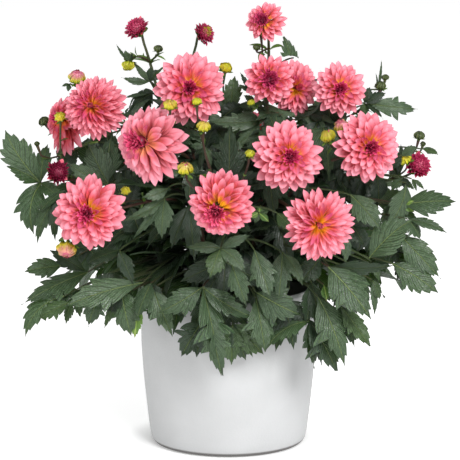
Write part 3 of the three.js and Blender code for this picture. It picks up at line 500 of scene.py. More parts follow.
# Blades of petals, bracts and shells: how the rows close up, the width at the foot, how the end narrows,
# and their roll, wave, grooves and sway
ROW_SPACING = 0.85
BLADE_FOOT = 0.35
BLADE_END = 1.8
BLADE_LEAST = 0.03
BLADE_ROLL = 0.22
BLADE_WAVE = 0.08
BLADE_WAVES = 9
BLADE_GROOVE = 0.08
BLADE_GROOVES = 2.6
BLADE_SWAY = 0.1

# Pointed green bracts at the back of a head, as shares of its radius, and how much they vary
BRACTS = {
    "bloom": {"count": 8, "reach": 0.62, "rise": -0.13, "half": 0.14},
    "opening": {"count": 7, "reach": 1.02, "rise": -0.12, "half": 0.3},
}
BRACT_STRAY = 0.3
BRACT_LENGTH = (0.85, 1.05)
BRACT_DROOP = (-0.06, 0.04)

# Buds: shells and bracts as shares of the radius, the green unripe ones, and how rosy some others are
BUD_CORE = 0.86
BUD_SHELLS = 9
SHELL_TOP = (0.7, 0.84)
ROSY_PETALS = 9
ROSY_TOP = (0.9, 1.12)
BUD_BRACTS = 6
BUD_BRACT_STRAY = 0.25
BRACT_REACH = (1.05, 1.7)
BRACT_RISE = (-1.2, -0.3)
GREEN_BUDS = ("bud_3", "bud_5", "bud_25", "bud_19", "bud_21", "bud_26", "bud_27", "bud_28", "bud_29")
ROSY_BUDS = {
    "bud_1": 1.0, "bud_6": 0.15, "bud_8": 0.2, "bud_9": 0.3, "bud_13": 0.8, "bud_16": 0.1, "bud_30": 0.9,
}

# Small leaves on a bud's stalk: a pair at its foot and some along it
YOUNG_LEAVES = 5
FOOT_PAIR = 2
FOOT_PAIR_AT = 0.05
FOOT_PAIR_SIZE = (14, 26)
YOUNG_AT = (0.3, 0.85)
YOUNG_SIZE = (7, 14)
YOUNG_WIDTH = (0.12, 0.22)
YOUNG_AHEAD = (0.5, 1.6)
YOUNG_TURN = 2.5

# Petals of a bloom, as shares of its radius, from the inmost to the outmost
NEAR_TIPS = {"first": 0.27, "growth": 0.68}
FAR_TIPS = {"first": 0.38, "growth": 0.4}
DOME = {"rise": 0.55, "drop": 0.06, "lean": 0.14}
FULL_FROM = 0.88
LONGEST = 1.02
PETAL_STRAY = 0.1
PETAL_LENGTH = (0.94, 1.03)
PETAL_RISE = 0.06
PETAL_BEND = 0.42
PETAL_WIDTH = (0.85, 1.12)
PETAL_TONE = 0.65
ROOT_REACH = (0.1, 0.2)
ROOT_HEIGHT = (0.16, -0.15)
HALF_WIDTH = (0.09, 0.2)
CUPPING = (0.9, 0.35)
HEART_SHARE = 0.13

# Hearts: rolled petals, as shares of the bloom's radius
HEART_COUNT = 38
HEART_REACH = (0.1, 1.3)
HEART_SIZE = 0.2
HEART_HEIGHT = 0.68
HEART_DOME = 0.14
HEART_ROOT = 0.25
HEART_WIDTH = (0.026, 0.05)
HEART_CORE = {"radius": 0.7, "heights": (0.1, 0.44), "tint": (0, -0.9, 0)}

# How each bloom differs: the side where its petals lie flat, in degrees round its face, how open it is all
# round, how much more on that side and how much longer its petals are there, the heart's size and its shift
# from the middle, how many petals it has, how wide, folded and pointed they are, how warm and pale, and how
# rosy the heart is
PLAIN_STYLE = {"far": 80, "open": 0.1, "lean": 0.7, "stretch": 0.04, "heart": 1.0, "shift": (0, 0),
               "count": 76, "wide": 0.84, "fold": 1.35, "tip": 0.64, "warm": 0.5, "pale": 0.1, "rosy": 0.0}
STYLES = {
    "bloom_1": {"far": 20, "open": 0.85, "lean": 0.2, "heart": 0.45, "shift": (-0.05, 0), "count": 120,
                "wide": 0.64, "fold": 2.2, "warm": 0.8, "pale": 0.05, "rosy": 0.5},
    "bloom_2": {"far": -45, "open": 0.5, "lean": 0.3, "stretch": 0.5, "wide": 0.95, "pale": 0.0},
    "bloom_3": {"far": 60, "lean": 1.0, "stretch": 0.08, "heart": 0.95, "warm": 0.7},
    "bloom_4": {"far": -10, "lean": 0.8, "stretch": 0.34, "heart": 1.3, "shift": (-0.08, 0.03), "count": 80,
                "wide": 0.95, "fold": 0.8, "tip": 0.8, "warm": 0.2, "pale": 0.8, "rosy": 0.1},
    "bloom_5": {"far": 45, "lean": 0.9, "heart": 1.1, "stretch": 0.08, "warm": 0.8},
    "bloom_6": {"far": 50, "lean": 1.1, "heart": 1.5, "shift": (-0.12, -0.16), "stretch": 0.1, "warm": 1.1,
                "rosy": 0.25},
    "bloom_7": {"far": 0, "open": 0.4, "lean": 0.5, "stretch": 0.12, "heart": 1.7, "shift": (-0.12, 0),
                "count": 46, "tip": 0.7, "warm": 0.8, "rosy": -0.35},
    "bloom_8": {"far": 80, "open": 0.4, "lean": 0.5, "heart": 1.75, "count": 48, "tip": 0.8, "warm": 0.5,
                "pale": 0.0, "rosy": -0.35},
    "bloom_9": {"far": 260, "open": 0.4, "lean": 0.7, "heart": 0.6, "wide": 0.8, "fold": 1.5, "warm": 1.1,
                "rosy": 0.6},
    "bloom_10": {"far": 60, "open": 0.3, "lean": 0.7, "stretch": 0.08, "heart": 1.2, "count": 62,
                 "warm": 1.1, "pale": 0.2},
    "bloom_11": {"far": 60, "lean": 0.7, "stretch": 0.08, "heart": 1.1, "shift": (0.04, 0), "warm": 0.9,
                 "pale": 0.3},
    "bloom_12": {"far": 50, "lean": 0.9, "stretch": 0.1, "heart": 1.0, "shift": (0.06, 0), "warm": 0.9,
                 "pale": 0.2},
    "bloom_13": {"far": -30, "open": 0.75, "lean": 0.5, "heart": 0.35, "shift": (-0.12, 0.05),
                 "count": 92, "wide": 0.56, "fold": 2.0, "tip": 0.5, "warm": 1.7, "pale": 0.35, "rosy": 1.0},
}

# Half-open heads: florets, how dark they are, and the share of green ones at the centre. The first long
# petals that spread from them have their place in degrees round the face, length and half width
FLORET_COUNT = 72
FLORET_SPREAD = 0.62
FLORET_REACH = 1.04
FLORET_WIDTH = (0.1, 0.2)
FLORET_FOLD = 1.3
FLORET_GREEN = 0.3
OPENING_CORE = 0.7
OPENING_TOP = 0.66
FIRST_PETALS = {
    "opening_1": [(95, 1.35, 0.2), (215, 1.2, 0.16), (-35, 1.25, 0.15), (150, 1.05, 0.14)],
    "opening_2": [(-30, 1.12, 0.2), (70, 1.02, 0.22), (200, 1.0, 0.18)],
    "opening_3": [(65, 1.4, 0.26), (-40, 1.15, 0.2), (215, 1.2, 0.2)],
    "opening_4": [(80, 1.3, 0.22), (20, 1.2, 0.14), (-60, 1.15, 0.16), (190, 1.1, 0.18)],
}
GREEN_CENTRES = {"opening_2": 0.42}
DARKNESS = {"opening_1": -0.45, "opening_2": -0.5, "opening_3": -0.75, "opening_4": -0.45}

# Painted shade: leaves and leaf stalks darken towards the middle of the plant, from the first distance in
# metres to the second
DARK_MIDDLE = (0, 0, 0.25)
DIM_FROM_MIDDLE = (0.15, 0.08)
DIM_RISE = 0.7

# First seeds of the random draws
SOIL_SEED = 3
FOLIAGE_SEED = 100

# Colours, as shares of red, green and blue. A pair is the colour from the least to the most of a tint or
# pattern, and "through" is the light that comes through a blade
LEAF_COLOURS = {
    "green": ((0.012, 0.036, 0.020), (0.024, 0.062, 0.018)), "mottle": (0.036, 0.078, 0.044),
    # The pale colour is partly a leaf's own paler tone and partly painted sheen
    "pale": (0.112, 0.178, 0.094), "fresh": (0.085, 0.165, 0.014), "net": (0.008, 0.02, 0.009),
    # Painted shade: the beside and groove colours are dark lines by the veins; the crumple flecks are
    # painted highlight
    "beside": (0.010, 0.024, 0.011), "groove": (0.008, 0.02, 0.010), "crumple_highlight": (0.13, 0.20, 0.105),
    "small": (0.15, 0.225, 0.115), "vein": (0.18, 0.26, 0.115), "midrib": (0.24, 0.31, 0.11),
    # The inside colours, on top and underneath, are painted shade deep in the plant and on shaded leaflets
    "inside": (0.003, 0.007, 0.004), "under": ((0.065, 0.115, 0.06), (0.2, 0.25, 0.12)),
    "under_shade": (0.006, 0.012, 0.006), "through": (0.10, 0.22, 0.02, 1),
}
YOUNG_COLOURS = {
    "green": ((0.055, 0.13, 0.022), (0.12, 0.22, 0.03)), "mottle": (0.05, 0.10, 0.03),
    "midrib": (0.26, 0.38, 0.08), "tip": (0.16, 0.10, 0.03), "through": (0.16, 0.32, 0.03, 1),
}
STEM_COLOURS = {
    "stem": ((0.075, 0.125, 0.035), (0.085, 0.032, 0.022)), "ridge": (0.14, 0.12, 0.06),
    # The inside colour is painted shade on leaf stalks deep in the plant
    "inside": (0.008, 0.012, 0.006),
}
BUD_COLOURS = {
    "shell": ((0.12, 0.22, 0.015), (0.66, 0.60, 0.02)), "fresh": (0.20, 0.34, 0.02),
    "mottle": (0.60, 0.22, 0.02), "rim": (0.62, 0.52, 0.06),
    "unripe": ((0.06, 0.085, 0.028), (0.16, 0.19, 0.06)), "flush": (0.62, 0.16, 0.24),
    "petal": (0.66, 0.12, 0.22),
}
PETAL_COLOURS = {
    "petal": ((0.84, 0.13, 0.195), (0.93, 0.28, 0.36)), "streak": (0.95, 0.38, 0.44),
    # The valley colour is painted shade, rich is partly painted shade and end is partly painted highlight
    "rich": (0.78, 0.08, 0.12), "valley_shade": (0.66, 0.06, 0.10), "end": (1.0, 0.50, 0.60),
    # The margin colour is painted shade along the petals' edges
    "margin_shade": (0.68, 0.05, 0.11), "foot": (0.94, 0.25, 0.085), "glow": (0.97, 0.50, 0.012),
    # The deep colour is painted shade in the gaps between the outer petals
    "inmost": (0.52, 0.03, 0.14), "deep": (0.26, 0.008, 0.022), "back": (0.62, 0.05, 0.085),
    "through": (0.95, 0.10, 0.10),
}
HEART_COLOURS = {
    "heart": ((0.46, 0.010, 0.08), (0.76, 0.05, 0.19)), "end": (0.84, 0.10, 0.26), "rim": (0.95, 0.30, 0.42),
    # The foot colour is painted shade at the florets' feet, deep in the heart
    "foot": (0.15, 0.003, 0.02), "dark": (0.14, 0.003, 0.022), "darkest": (0.10, 0.004, 0.02),
    "rosy": ((0.75, 0.06, 0.12), (0.90, 0.22, 0.27)),
}
# The planter's foot colour is a painted shadow where it meets the floor
PLANTER_COLOURS = {"glaze": ((0.425, 0.43, 0.433), (0.47, 0.475, 0.48)), "foot": (0.07, 0.065, 0.06)}
SOIL_COLOURS = {"crumb": ((0.018, 0.011, 0.008), (0.06, 0.036, 0.024)), "fibre": (0.16, 0.10, 0.06)}

# Painted shadow at the planter's foot, between two heights, and the floor with its glow between two
# distances
FOOT_SHADOW = (0.0065, 0.004)
FLOOR_WHITE = (0.85, 0.85, 0.85, 1)
GLOW_FROM_AXIS = (0.098, 0.145)
FLOOR_GLOW = (0.3, 0.66)


# Small helpers

def unit(v):
    return v / np.maximum(np.linalg.norm(v, axis=-1, keepdims=True), 1e-9)


def lerp(a, b, share):
    return a + (b - a) * share


def smooth(low, high, x):
    x = np.clip((x - low) / (high - low), 0, 1)
    return x * x * (3 - 2 * x)


def turned(v, axis, angle):
    """Vectors turned about unit axes by an angle."""
    return (v * math.cos(angle) + np.cross(axis, v) * math.sin(angle)
            + axis * np.sum(axis * v, axis=-1, keepdims=True) * (1 - math.cos(angle)))


def arc(s, root, bend, tip):
    """Places at shares s of a flat curve, from root past bend to tip, and the way across it there."""
    line = ((1 - s) ** 2)[..., None] * root + (2 * s * (1 - s))[..., None] * bend + (s ** 2)[..., None] * tip
    ahead = unit(((1 - s) * 2)[..., None] * (bend - root) + (s * 2)[..., None] * (tip - bend))
    return line, np.stack([-ahead[..., 1], ahead[..., 0]], axis=-1)


def seen_at(x, y, depth):
    """The place that shows at a pixel of the photograph, in whole millimetres, and a pixel's size there."""
    rise = (MIDDLE_PIXEL[1] - y) / LENS_PIXELS
    away = CAMERA_DISTANCE + LOOK_LEVEL * depth
    up = (rise * away - LOOK_DOWN * depth) / (LOOK_LEVEL + LOOK_DOWN * rise)
    pixel = (away - LOOK_DOWN * up) / LENS_PIXELS
    return np.array([round((x - MIDDLE_PIXEL[0]) * pixel), depth, round(AIM[2] + up)], float), pixel


class Random:
    """Seeded draws."""

    def __init__(self, seed):
        self.source = np.random.RandomState(seed)

    def random(self):
        return float(self.source.random_sample())

    def uniform(self, low, high):
        return float(self.source.uniform(low, high))


class Curve:
    """A smooth curve with three or four control points."""

    def __init__(self, *controls):
        self.controls = np.array(controls, float)

    @staticmethod
    def blend(controls, u):
        u = np.atleast_1d(u)[:, None]
        n = len(controls) - 1
        return sum(math.comb(n, k) * u ** k * (1 - u) ** (n - k) * c for k, c in enumerate(controls))

    def at(self, u):
        return self.blend(self.controls, u)

    def tangent(self, u):
        return unit(self.blend(np.diff(self.controls, axis=0), u))

    def length(self):
        return np.linalg.norm(np.diff(self.at(np.linspace(0, 1, 201)), axis=0), axis=1).sum()


class Shape:
    """A mesh under construction: points in millimetres, each with its place on its blade and its tint."""

    def __init__(self):
        self.points, self.places, self.tints = [], [], []
        self.faces, self.slots = [], []
        self.count = 0

    def add(self, points, places, tint, faces, slot):
        points = np.asarray(points, float).reshape(-1, 3)
        self.points.append(points)
        self.places.append(np.asarray(places, float).reshape(-1, 3))
        self.tints.append(np.tile(np.asarray(tint, float), (len(points), 1)))
        self.faces += [tuple(i + self.count for i in face) for face in faces]
        self.slots += [slot] * len(faces)
        self.count += len(points)

    def sheet(self, points, places, tint, slot):
        """A grid of points, rows by columns."""
        rows, columns = points.shape[:2]
        self.add(points, places, tint, grid_faces(rows, columns, False), slot)

    def body(self, points, places, tint, slot):
        """A closed body from rings of points, with its two ends capped."""
        rows, columns = points.shape[:2]
        faces = grid_faces(rows, columns, True)
        faces.append(tuple(reversed(range(columns))))
        faces.append(tuple((rows - 1) * columns + i for i in range(columns)))
        self.add(points, places, tint, faces, slot)

    def piece(self, name, materials, slot, *nodes):
        mesh = bpy.data.meshes.new(name)
        mesh.from_pydata((np.concatenate(self.points) * MM).tolist(), [], self.faces)
        for label, rows in (("place", self.places), ("tint", self.tints)):
            layer = mesh.attributes.new(label, "FLOAT_VECTOR", "POINT")
            layer.data.foreach_set("vector", np.concatenate(rows).astype(np.float32).ravel())
        for material in materials:
            mesh.materials.append(material)
        mesh.polygons.foreach_set("material_index", self.slots)
        mesh.polygons.foreach_set("use_smooth", [True] * len(self.faces))
        mesh.update()
        made = bpy.data.objects.new(name, mesh)
        bpy.context.scene.collection.objects.link(made)
        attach(made, "root")
        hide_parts(*nodes)
        return made


FACES = {}


def grid_faces(rows, columns, closed):
    """The quads between rows of points. A closed grid joins its last column to its first."""
    key = rows, columns, closed
    if key not in FACES:
        last = columns if closed else columns - 1
        FACES[key] = [
            (r * columns + c, r * columns + (c + 1) % columns,
             (r + 1) * columns + (c + 1) % columns, (r + 1) * columns + c)
            for r in range(rows - 1) for c in range(last)
        ]
    return list(FACES[key])


def places_of(rows, columns):
    """How far along and across its grid each point is, from 0 to 1 and from -1 to 1."""
    s, t = np.meshgrid(np.linspace(0, 1, rows), np.linspace(-1, 1, columns), indexing="ij")
    return np.stack([s, t, np.zeros_like(s)], axis=-1)


# Heads and stems

class Head:
    """A bloom, a half-open head or a bud, as its name says, with its place and the way that it faces."""

    def __init__(self, name, shoot, centre, radius, turn, tilt, parent=None, joint=0):
        self.name, self.shoot, self.parent, self.joint = name, shoot, parent, joint
        self.kind = name.split("_")[0]
        self.centre, self.radius = np.array(centre, float), radius
        turn, tilt = math.radians(turn), math.radians(tilt)
        level = math.cos(tilt)
        self.way = np.array([math.sin(turn) * level, -math.cos(turn) * level, math.sin(tilt)])
        self.across = unit(np.cross(UP, self.way))
        self.up = np.cross(self.way, self.across)
        below = BUD_NECK if self.kind == "bud" else -BACKS[self.kind]["height"]
        self.neck = self.centre - self.way * below * radius
        self.seed = list(HEADS).index(name) + 1

    def world(self, local):
        """Points given as shares of the radius, across, up and forwards, in the object's frame."""
        axes = np.stack([self.across, self.up, self.way])
        return self.centre + self.radius * (np.asarray(local) @ axes)


heads = {name: Head(name, *row) for name, row in HEADS.items()}


def joint_share(head, joint):
    """How far along its line a joint of a head's stem lies."""
    if head.kind == "bud":
        return joint * STALK_STEP
    return joint / (BRANCH_STEPS if head.parent else MAIN_STEPS) * STEM_SHARE


LINES = {}


def line_of(name):
    """The line of a head's stem, from the soil or the stem that it forks from, to the back of the head."""
    if name in LINES:
        return LINES[name]
    head = heads[name]
    azimuth = math.radians(SHOOTS[head.shoot][0])
    level = np.array([math.cos(azimuth), math.sin(azimuth), 0])
    start = level * FOOT_RADIUS + UP * FOOT_HEIGHT
    leave = level * FOOT_LEAN + UP
    if head.parent:
        share = joint_share(heads[head.parent], head.joint)
        start = line_of(head.parent).at(share)[0]
        leave = line_of(head.parent).tangent(share)[0] + UP * FORK_RISE
    reach = STEM_BEND * np.linalg.norm(head.neck - start)
    arrive = unit(head.way + UP * NECK_RISE)
    last = head.neck - arrive * min(reach, NECK_BEND)
    LINES[name] = Curve(start, start + unit(leave) * reach, last, head.neck)
    return LINES[name]


def tube(shape, points, radii, sides, tint, slot):
    """A round body along points, with a radius at each."""
    points = np.asarray(points, float)
    along = unit(np.gradient(points, axis=0))
    across = unit(np.array([1, 0.3, 0.2]))
    angles = np.arange(sides) / sides * FULL_TURN
    rings = []
    for p, way, radius in zip(points, along, radii):
        across = unit(across - way * (way @ across))
        third = np.cross(way, across)
        rings.append(p + radius * (np.cos(angles)[:, None] * across + np.sin(angles)[:, None] * third))
    shape.body(np.array(rings), places_of(len(points), sides), tint, slot)


def stem(shape, head, random):
    """A head's stem with its swollen joints, and the green cup that holds the head."""
    line = line_of(head.name)
    first = not head.parent
    thick = MAIN_RADIUS if first else BRANCH_RADIUS
    shares = np.linspace(0, STEM_SHARE, STEM_POINTS, endpoint=False)
    points = list(line.at(shares))
    joints = np.abs(np.sin(shares / STEM_SHARE * math.pi * (MAIN_STEPS if first else BRANCH_STEPS)))
    taper = lerp(thick, SLENDER, (shares / STEM_SHARE) ** STEM_TAPER)
    radii = list(taper * (JOINT_SWELLING - JOINT_WAIST * joints ** 0.5))
    if first:
        points.insert(0, points[0] * [1, 1, 0] + UP * (SOIL_EDGE - HOLE_DEPTH + 1))
        radii.insert(0, MAIN_RADIUS)
    end = head.neck - head.way * FACE_GAP
    wide = BACKS[head.kind]["radius"] * head.radius * CUP_SHARE
    for share, part, more in CUP_ROWS:
        points.append(end - head.way * CUP_LENGTH * share)
        radii.append(part * wide + more)
    tube(shape, points, radii, STEM_SIDES, (random.random(), random.random(), 0), STEM)
    bracts(shape, head, random)


def bracts(shape, head, random):
    """Pointed green bracts round the back of a bloom or half-open head."""
    back, form = BACKS[head.kind], BRACTS[head.kind]
    for k in range(form["count"]):
        angle = (k + BRACT_STRAY * random.random()) / form["count"] * FULL_TURN
        root = (0.6 * back["radius"], back["height"] - 0.06)
        bend = (0.6 * form["reach"], back["height"] - 0.04)
        tip = (form["reach"] * random.uniform(*BRACT_LENGTH), form["rise"] + random.uniform(*BRACT_DROOP))
        local, places = blade(root, bend, tip, angle, form["half"], 0.3, SMALL_BLADE, random)
        shape.sheet(head.world(local), places, (random.random(), random.random(), 0.4), YOUNG)


def blade(root, bend, tip, angle, half_width, cup, grid, random, widest=0.62, point=0.8):
    """A petal-like blade in a head's own shares. root, bend and tip are (distance from the axis, height)."""
    places = places_of(*grid)
    places[..., 0] = places[..., 0] ** ROW_SPACING
    s, t = places[..., 0], places[..., 1]
    root, bend, tip = (np.array(p, float) for p in (root, bend, tip))
    line, normal = arc(s, root, bend, tip)
    beyond = np.clip((s - widest) / (1 - widest), 0, 1)
    outline = lerp(BLADE_FOOT, 1, smooth(0, widest, s)) * np.maximum(1 - beyond ** BLADE_END, 0) ** point
    wide = half_width * np.maximum(outline, BLADE_LEAST)
    x = -t * wide
    roll = random.uniform(-BLADE_ROLL, BLADE_ROLL)
    wave = BLADE_WAVE * half_width * np.sin(s * BLADE_WAVES + random.uniform(0, 6)) * t ** 2 * s
    groove = BLADE_GROOVE * wide * (np.cos(t * BLADE_GROOVES * math.pi) - 1) * (1 - 0.4 * s)
    lift = cup * wide * t ** 2 * (1.3 - 0.6 * s) + groove + wave + x * roll * s
    x = x + random.uniform(-BLADE_SWAY, BLADE_SWAY) * np.linalg.norm(tip - root) * s ** 2
    radial = line[..., 0] + normal[..., 0] * lift
    forward = line[..., 1] + normal[..., 1] * lift
    across, up = math.cos(angle), math.sin(angle)
    return np.stack([radial * across - x * up, radial * up + x * across, forward], axis=-1), places


# Leaves

def radius_at(rows, height):
    rows = sorted(rows, key=lambda row: row[1])
    return np.interp(height, [row[1] for row in rows], [row[0] for row in rows])


def clear_of_heads(p, middle):
    """Points inside the ball round a head move out of it, to the side that the leaf's middle is on."""
    for head in heads.values():
        if head.kind == "bud":
            continue
        centre = head.centre + head.way * BLOOM_MIDDLE * head.radius
        reach = head.radius + BLOOM_CLEARANCE
        offset = p - centre
        inside = np.linalg.norm(offset, axis=-1) < reach
        way = unit(middle - centre)
        along = offset[inside] @ way
        out = -along + np.sqrt(along ** 2 - np.sum(offset[inside] ** 2, axis=-1) + reach ** 2)
        p[inside] += out[:, None] * way
    return p


def clear_of_planter(p):
    """Points close to the planter's outside move away from its axis."""
    rim = [POT_RIM[0][0], POT_RIM[1][1] + LEAF_TO_POT]
    from_axis = np.hypot(p[:, 0], p[:, 1])
    free = radius_at(POT_OUTSIDE + [rim], p[:, 2]) + LEAF_TO_POT
    close = (p[:, 2] < rim[1]) & (from_axis > OVER_POT) & (from_axis < free)
    p[close, :2] *= (free[close] / from_axis[close])[:, None]
    return p


def main_head(shoot):
    """The head at the end of a leafy stem's main stem."""
    return next(head for head in heads.values() if head.shoot == shoot and not head.parent)


def on_stem(shoot, height):
    """The place on the main stem of a leafy stem at a height."""
    head = main_head(shoot)
    joints = line_of(head.name).at([joint_share(head, i) for i in range(MAIN_STEPS)])
    return np.array([np.interp(height, joints[:, 2], joints[:, k]) for k in range(3)])


class Leaf:
    """A leaf's or leaflet's rib and the arched surface round it, which faces a given way."""

    def __init__(self, start, tip, roll=0, over=None, facing=UP):
        if over is None:
            rise = tip[2] - start[2]
            fall = np.clip(-rise / ARCH["full_fall"], 0, 1)
            over = lerp(start, tip, ARCH["share"] + ARCH["fall_share"] * fall)
            if rise > 0:
                over[2] = start[2] + RISING_ARCH["lift"] + RISING_ARCH["share"] * rise
            else:
                over[2] = start[2] + ARCH["lift"] + ARCH["length_lift"] * np.linalg.norm(tip - start)
        self.rib = Curve(start, over, tip)
        self.length = self.rib.length()
        self.roll = math.radians(roll)
        self.facing = facing
        self.middle = self.rib.at(LEAF_MIDDLE)[0]

    def surface(self, u, v, lift):
        """Points at shares u of the rib and v out from it, in shares of its length, lifted off the blade."""
        form = np.shape(u)
        u, v, lift = (np.broadcast_to(x, form).ravel() for x in (u, v, lift))
        along = self.rib.tangent(u)
        side = turned(unit(np.cross(along, self.facing)), along, self.roll)
        face = np.cross(side, along)
        out = (v * self.length)[:, None]
        droop = LEAF_DROOP * out ** 2 / self.length
        p = self.rib.at(u) + side * out + face * (lift[:, None] - droop)
        p = clear_of_heads(p, self.middle)
        p = clear_of_planter(p)
        return p.reshape(*form, 3)


def rows_of(lobe, random):
    """Where a leaflet's rows lie, how far its two edges reach there, and how far they lean forwards."""
    pitch = (TEETH_TO - TEETH_FROM) / TEETH
    s = list(np.linspace(0, TEETH_FROM, FOOT_ROWS, endpoint=False))
    reach, lean = [(1, 1)] * FOOT_ROWS, [0] * FOOT_ROWS
    for k in range(TEETH):
        grown = lobe if k == LOBED_TOOTH else 0
        hollow = 0.5 * lobe if k in (LOBED_TOOTH, LOBED_TOOTH + 1) else 0
        notches = [random.uniform(*NOTCH) * (k > 0) + hollow for _ in range(2)]
        tips = [random.uniform(*TOOTH) + grown * random.uniform(0.8, 1.1) for _ in range(2)]
        rows = LOBE_ROWS if grown else TOOTH_ROWS
        for f in rows:
            s.append(TEETH_FROM + (k + f) * pitch)
            rise = (f / rows[-1]) ** TOOTH_RISE
            reach.append(tuple(lerp(1 - notch, 1 + tip, rise) for notch, tip in zip(notches, tips)))
            lean.append(TOOTH_LEAN * (1 + grown) * pitch * (f / rows[-1]) ** 2)
    s += [lerp(TEETH_TO, 1, f) for f in TIP_ROWS]
    reach += [(r, r) for r in TIP_REACH]
    lean += [0] * len(TIP_ROWS)
    return np.array(s)[:, None], np.array(reach), np.array(lean)[:, None], pitch


def leaflet(shape, leaf, spec, side, random, tint, lobe, slot=LEAF):
    """One toothed leaflet, folded along its midrib and puckered between its side veins."""
    root, tip, half_width, bow = spec
    root, tip = np.array(root), np.array(tip) * [1, side]
    s, reach, lean, pitch = rows_of(lobe, random)
    t = np.linspace(-1, 1, LEAFLET_COLUMNS)[None, :]
    edge = np.abs(t) ** 3
    phase = (s - TEETH_FROM) / pitch + 0.5 + VEIN_SLANT * (1 - np.abs(t))
    widest = random.uniform(*WIDEST)
    outline = np.where(s < widest, np.sin(np.minimum(s / widest, 1) * math.pi / 2) ** random.uniform(*WEDGE),
                       np.cos(np.clip((s - widest) / (1 - widest), 0, 1) * math.pi / 2) ** TAPER)
    outline = np.maximum(outline, LEAST_WIDTH)
    jagged = np.where(t < 0, reach[:, :1], reach[:, 1:])
    across = t * outline * (1 + (jagged - 1) * edge)
    s = s + lean * edge
    chord = tip - root
    cross = np.array([-chord[1], chord[0]])
    bend = root + chord * 0.5 - cross * bow * side
    q, beside = arc(s, root, bend, tip)
    q = q + beside * (half_width * across)[..., None]
    size = half_width * leaf.length
    lift = size * random.uniform(*FOLD) * (np.abs(across) - 0.5 * across ** 2)
    lift += size * PUCKER * np.cos(phase * FULL_TURN) * np.sin(np.abs(t) * math.pi) * outline
    lift += size * random.uniform(-TWIST, TWIST) * np.sin(s * TWISTS + random.uniform(0, 6)) * t
    lift += size * random.uniform(-TILT, TILT) * across
    lift -= size * random.uniform(*HANG) * s ** 2
    places = np.stack([s, across, phase], axis=-1)
    shape.sheet(leaf.surface(q[..., 0], q[..., 1], lift), places, tint, slot)


def leaf(shape, made, specs, random, tone=LEAF_TONE):
    """A whole leaf: its stalk and rib, and its leaflets."""
    tint = np.array([random.random(), lerp(*tone, random.random() ** 1.5), 0.0])
    u = np.linspace(0, specs[-1][0][0] + 0.02, LEAF_STALK_POINTS)
    stalk = made.surface(u, 0 * u, 0 * u - LEAF_STALK_DROP)
    tube(shape, stalk, lerp(*LEAF_STALK, u / u[-1]), LEAF_STALK_SIDES, (0.3, random.random(), 1), STEM)
    for spec in specs:
        for side in ((1, -1) if spec[1][1] else (1,)):
            lobe = random.uniform(*LOBE) if random.random() < LOBED_SHARE else 0
            leaflet(shape, made, spec, side, random, tint + [0, LEAFLET_TONE * random.random(), 0], lobe)


def seen_leaflet(x, y, depth, half, tone=PLAIN, bow=0, lobe=0):
    tip, pixel = seen_at(x, y, depth)
    return tip, round(half * pixel), tone, bow, lobe


def spray(shape, shoot, row):
    """A leaf seen clearly from the front: its stalk, and its leaflets spread from where they part."""
    height, *parting, leaflets = row
    parting = seen_at(*parting)[0]
    random = Random(int(height + 7 * abs(parting[0]) + 13 * abs(parting[2])))
    start = on_stem(shoot, height)
    middle = lerp(start, parting, 0.5) + UP * STALK_LIFT
    u = np.linspace(0, 1, LEAF_STALK_POINTS)
    line = clear_of_heads(Curve(start, middle, parting).at(u), parting)
    tube(shape, line, lerp(*FRONT_STALK, u), LEAF_STALK_SIDES, (0.1, random.random(), 1), STEM)
    facing = unit(FACING_OUT * unit(parting * [1, 1, 0]) + FACING)
    for seen in leaflets:
        tip, half, tone, bow, lobe = seen_leaflet(*seen)
        over = lerp(parting, tip, 0.5) + facing * LEAFLET_RISE * np.linalg.norm(tip - parting)
        made = Leaf(parting, tip, random.uniform(-LEAFLET_ROLL, LEAFLET_ROLL), over, facing)
        pale, fresh, slot = tone
        tint = (random.random(), pale + random.uniform(*TONE_SPREAD), fresh)
        spec = ((0, 0), (1, 0), half / made.length, bow)
        leaflet(shape, made, spec, 1, random, tint, lobe, slot)


def tip_at(shoot, turn, reach, height):
    """A leaf's tip. The plant is wider than it is deep."""
    way = math.radians(SHOOTS[shoot][0] + turn)
    return np.array([reach * math.cos(way) * WIDER, reach * math.sin(way) * SHALLOWER, height])


def leaves(shape, shoot, random):
    """All the leaves of a leafy stem: at the back, as seen from the front, and smaller ones between them."""
    for height, turn, reach, tip_height in SHOOTS[shoot][1]:
        made = Leaf(on_stem(shoot, height), tip_at(shoot, turn, reach, tip_height))
        leaf(shape, made, FIVE_LEAFLETS if made.length > FIVE_FROM else THREE_LEAFLETS, random)
    for row in SPRAYS.get(shoot, []):
        spray(shape, shoot, row)
    top = main_head(shoot).centre[2] - BELOW_TOP
    for k in range(INNER_LEAVES):
        share = k / (INNER_LEAVES - 1)
        height = lerp(INNER_ATTACH[0], min(INNER_ATTACH[1], top), share)
        reach = lerp(*INNER_REACH, share) * random.uniform(*INNER_SPREAD) * OUTER_SHOOTS.get(shoot, 1)
        turn = (-1) ** k * random.uniform(*INNER_TURN)
        tip = tip_at(shoot, turn, reach, height + random.uniform(*INNER_RISE))
        made = Leaf(on_stem(shoot, height), tip, random.uniform(-INNER_ROLL, INNER_ROLL))
        leaf(shape, made, INNER_LEAFLETS, random, (lerp(*INNER_LEAST, share), lerp(*INNER_MOST, share)))


# Buds

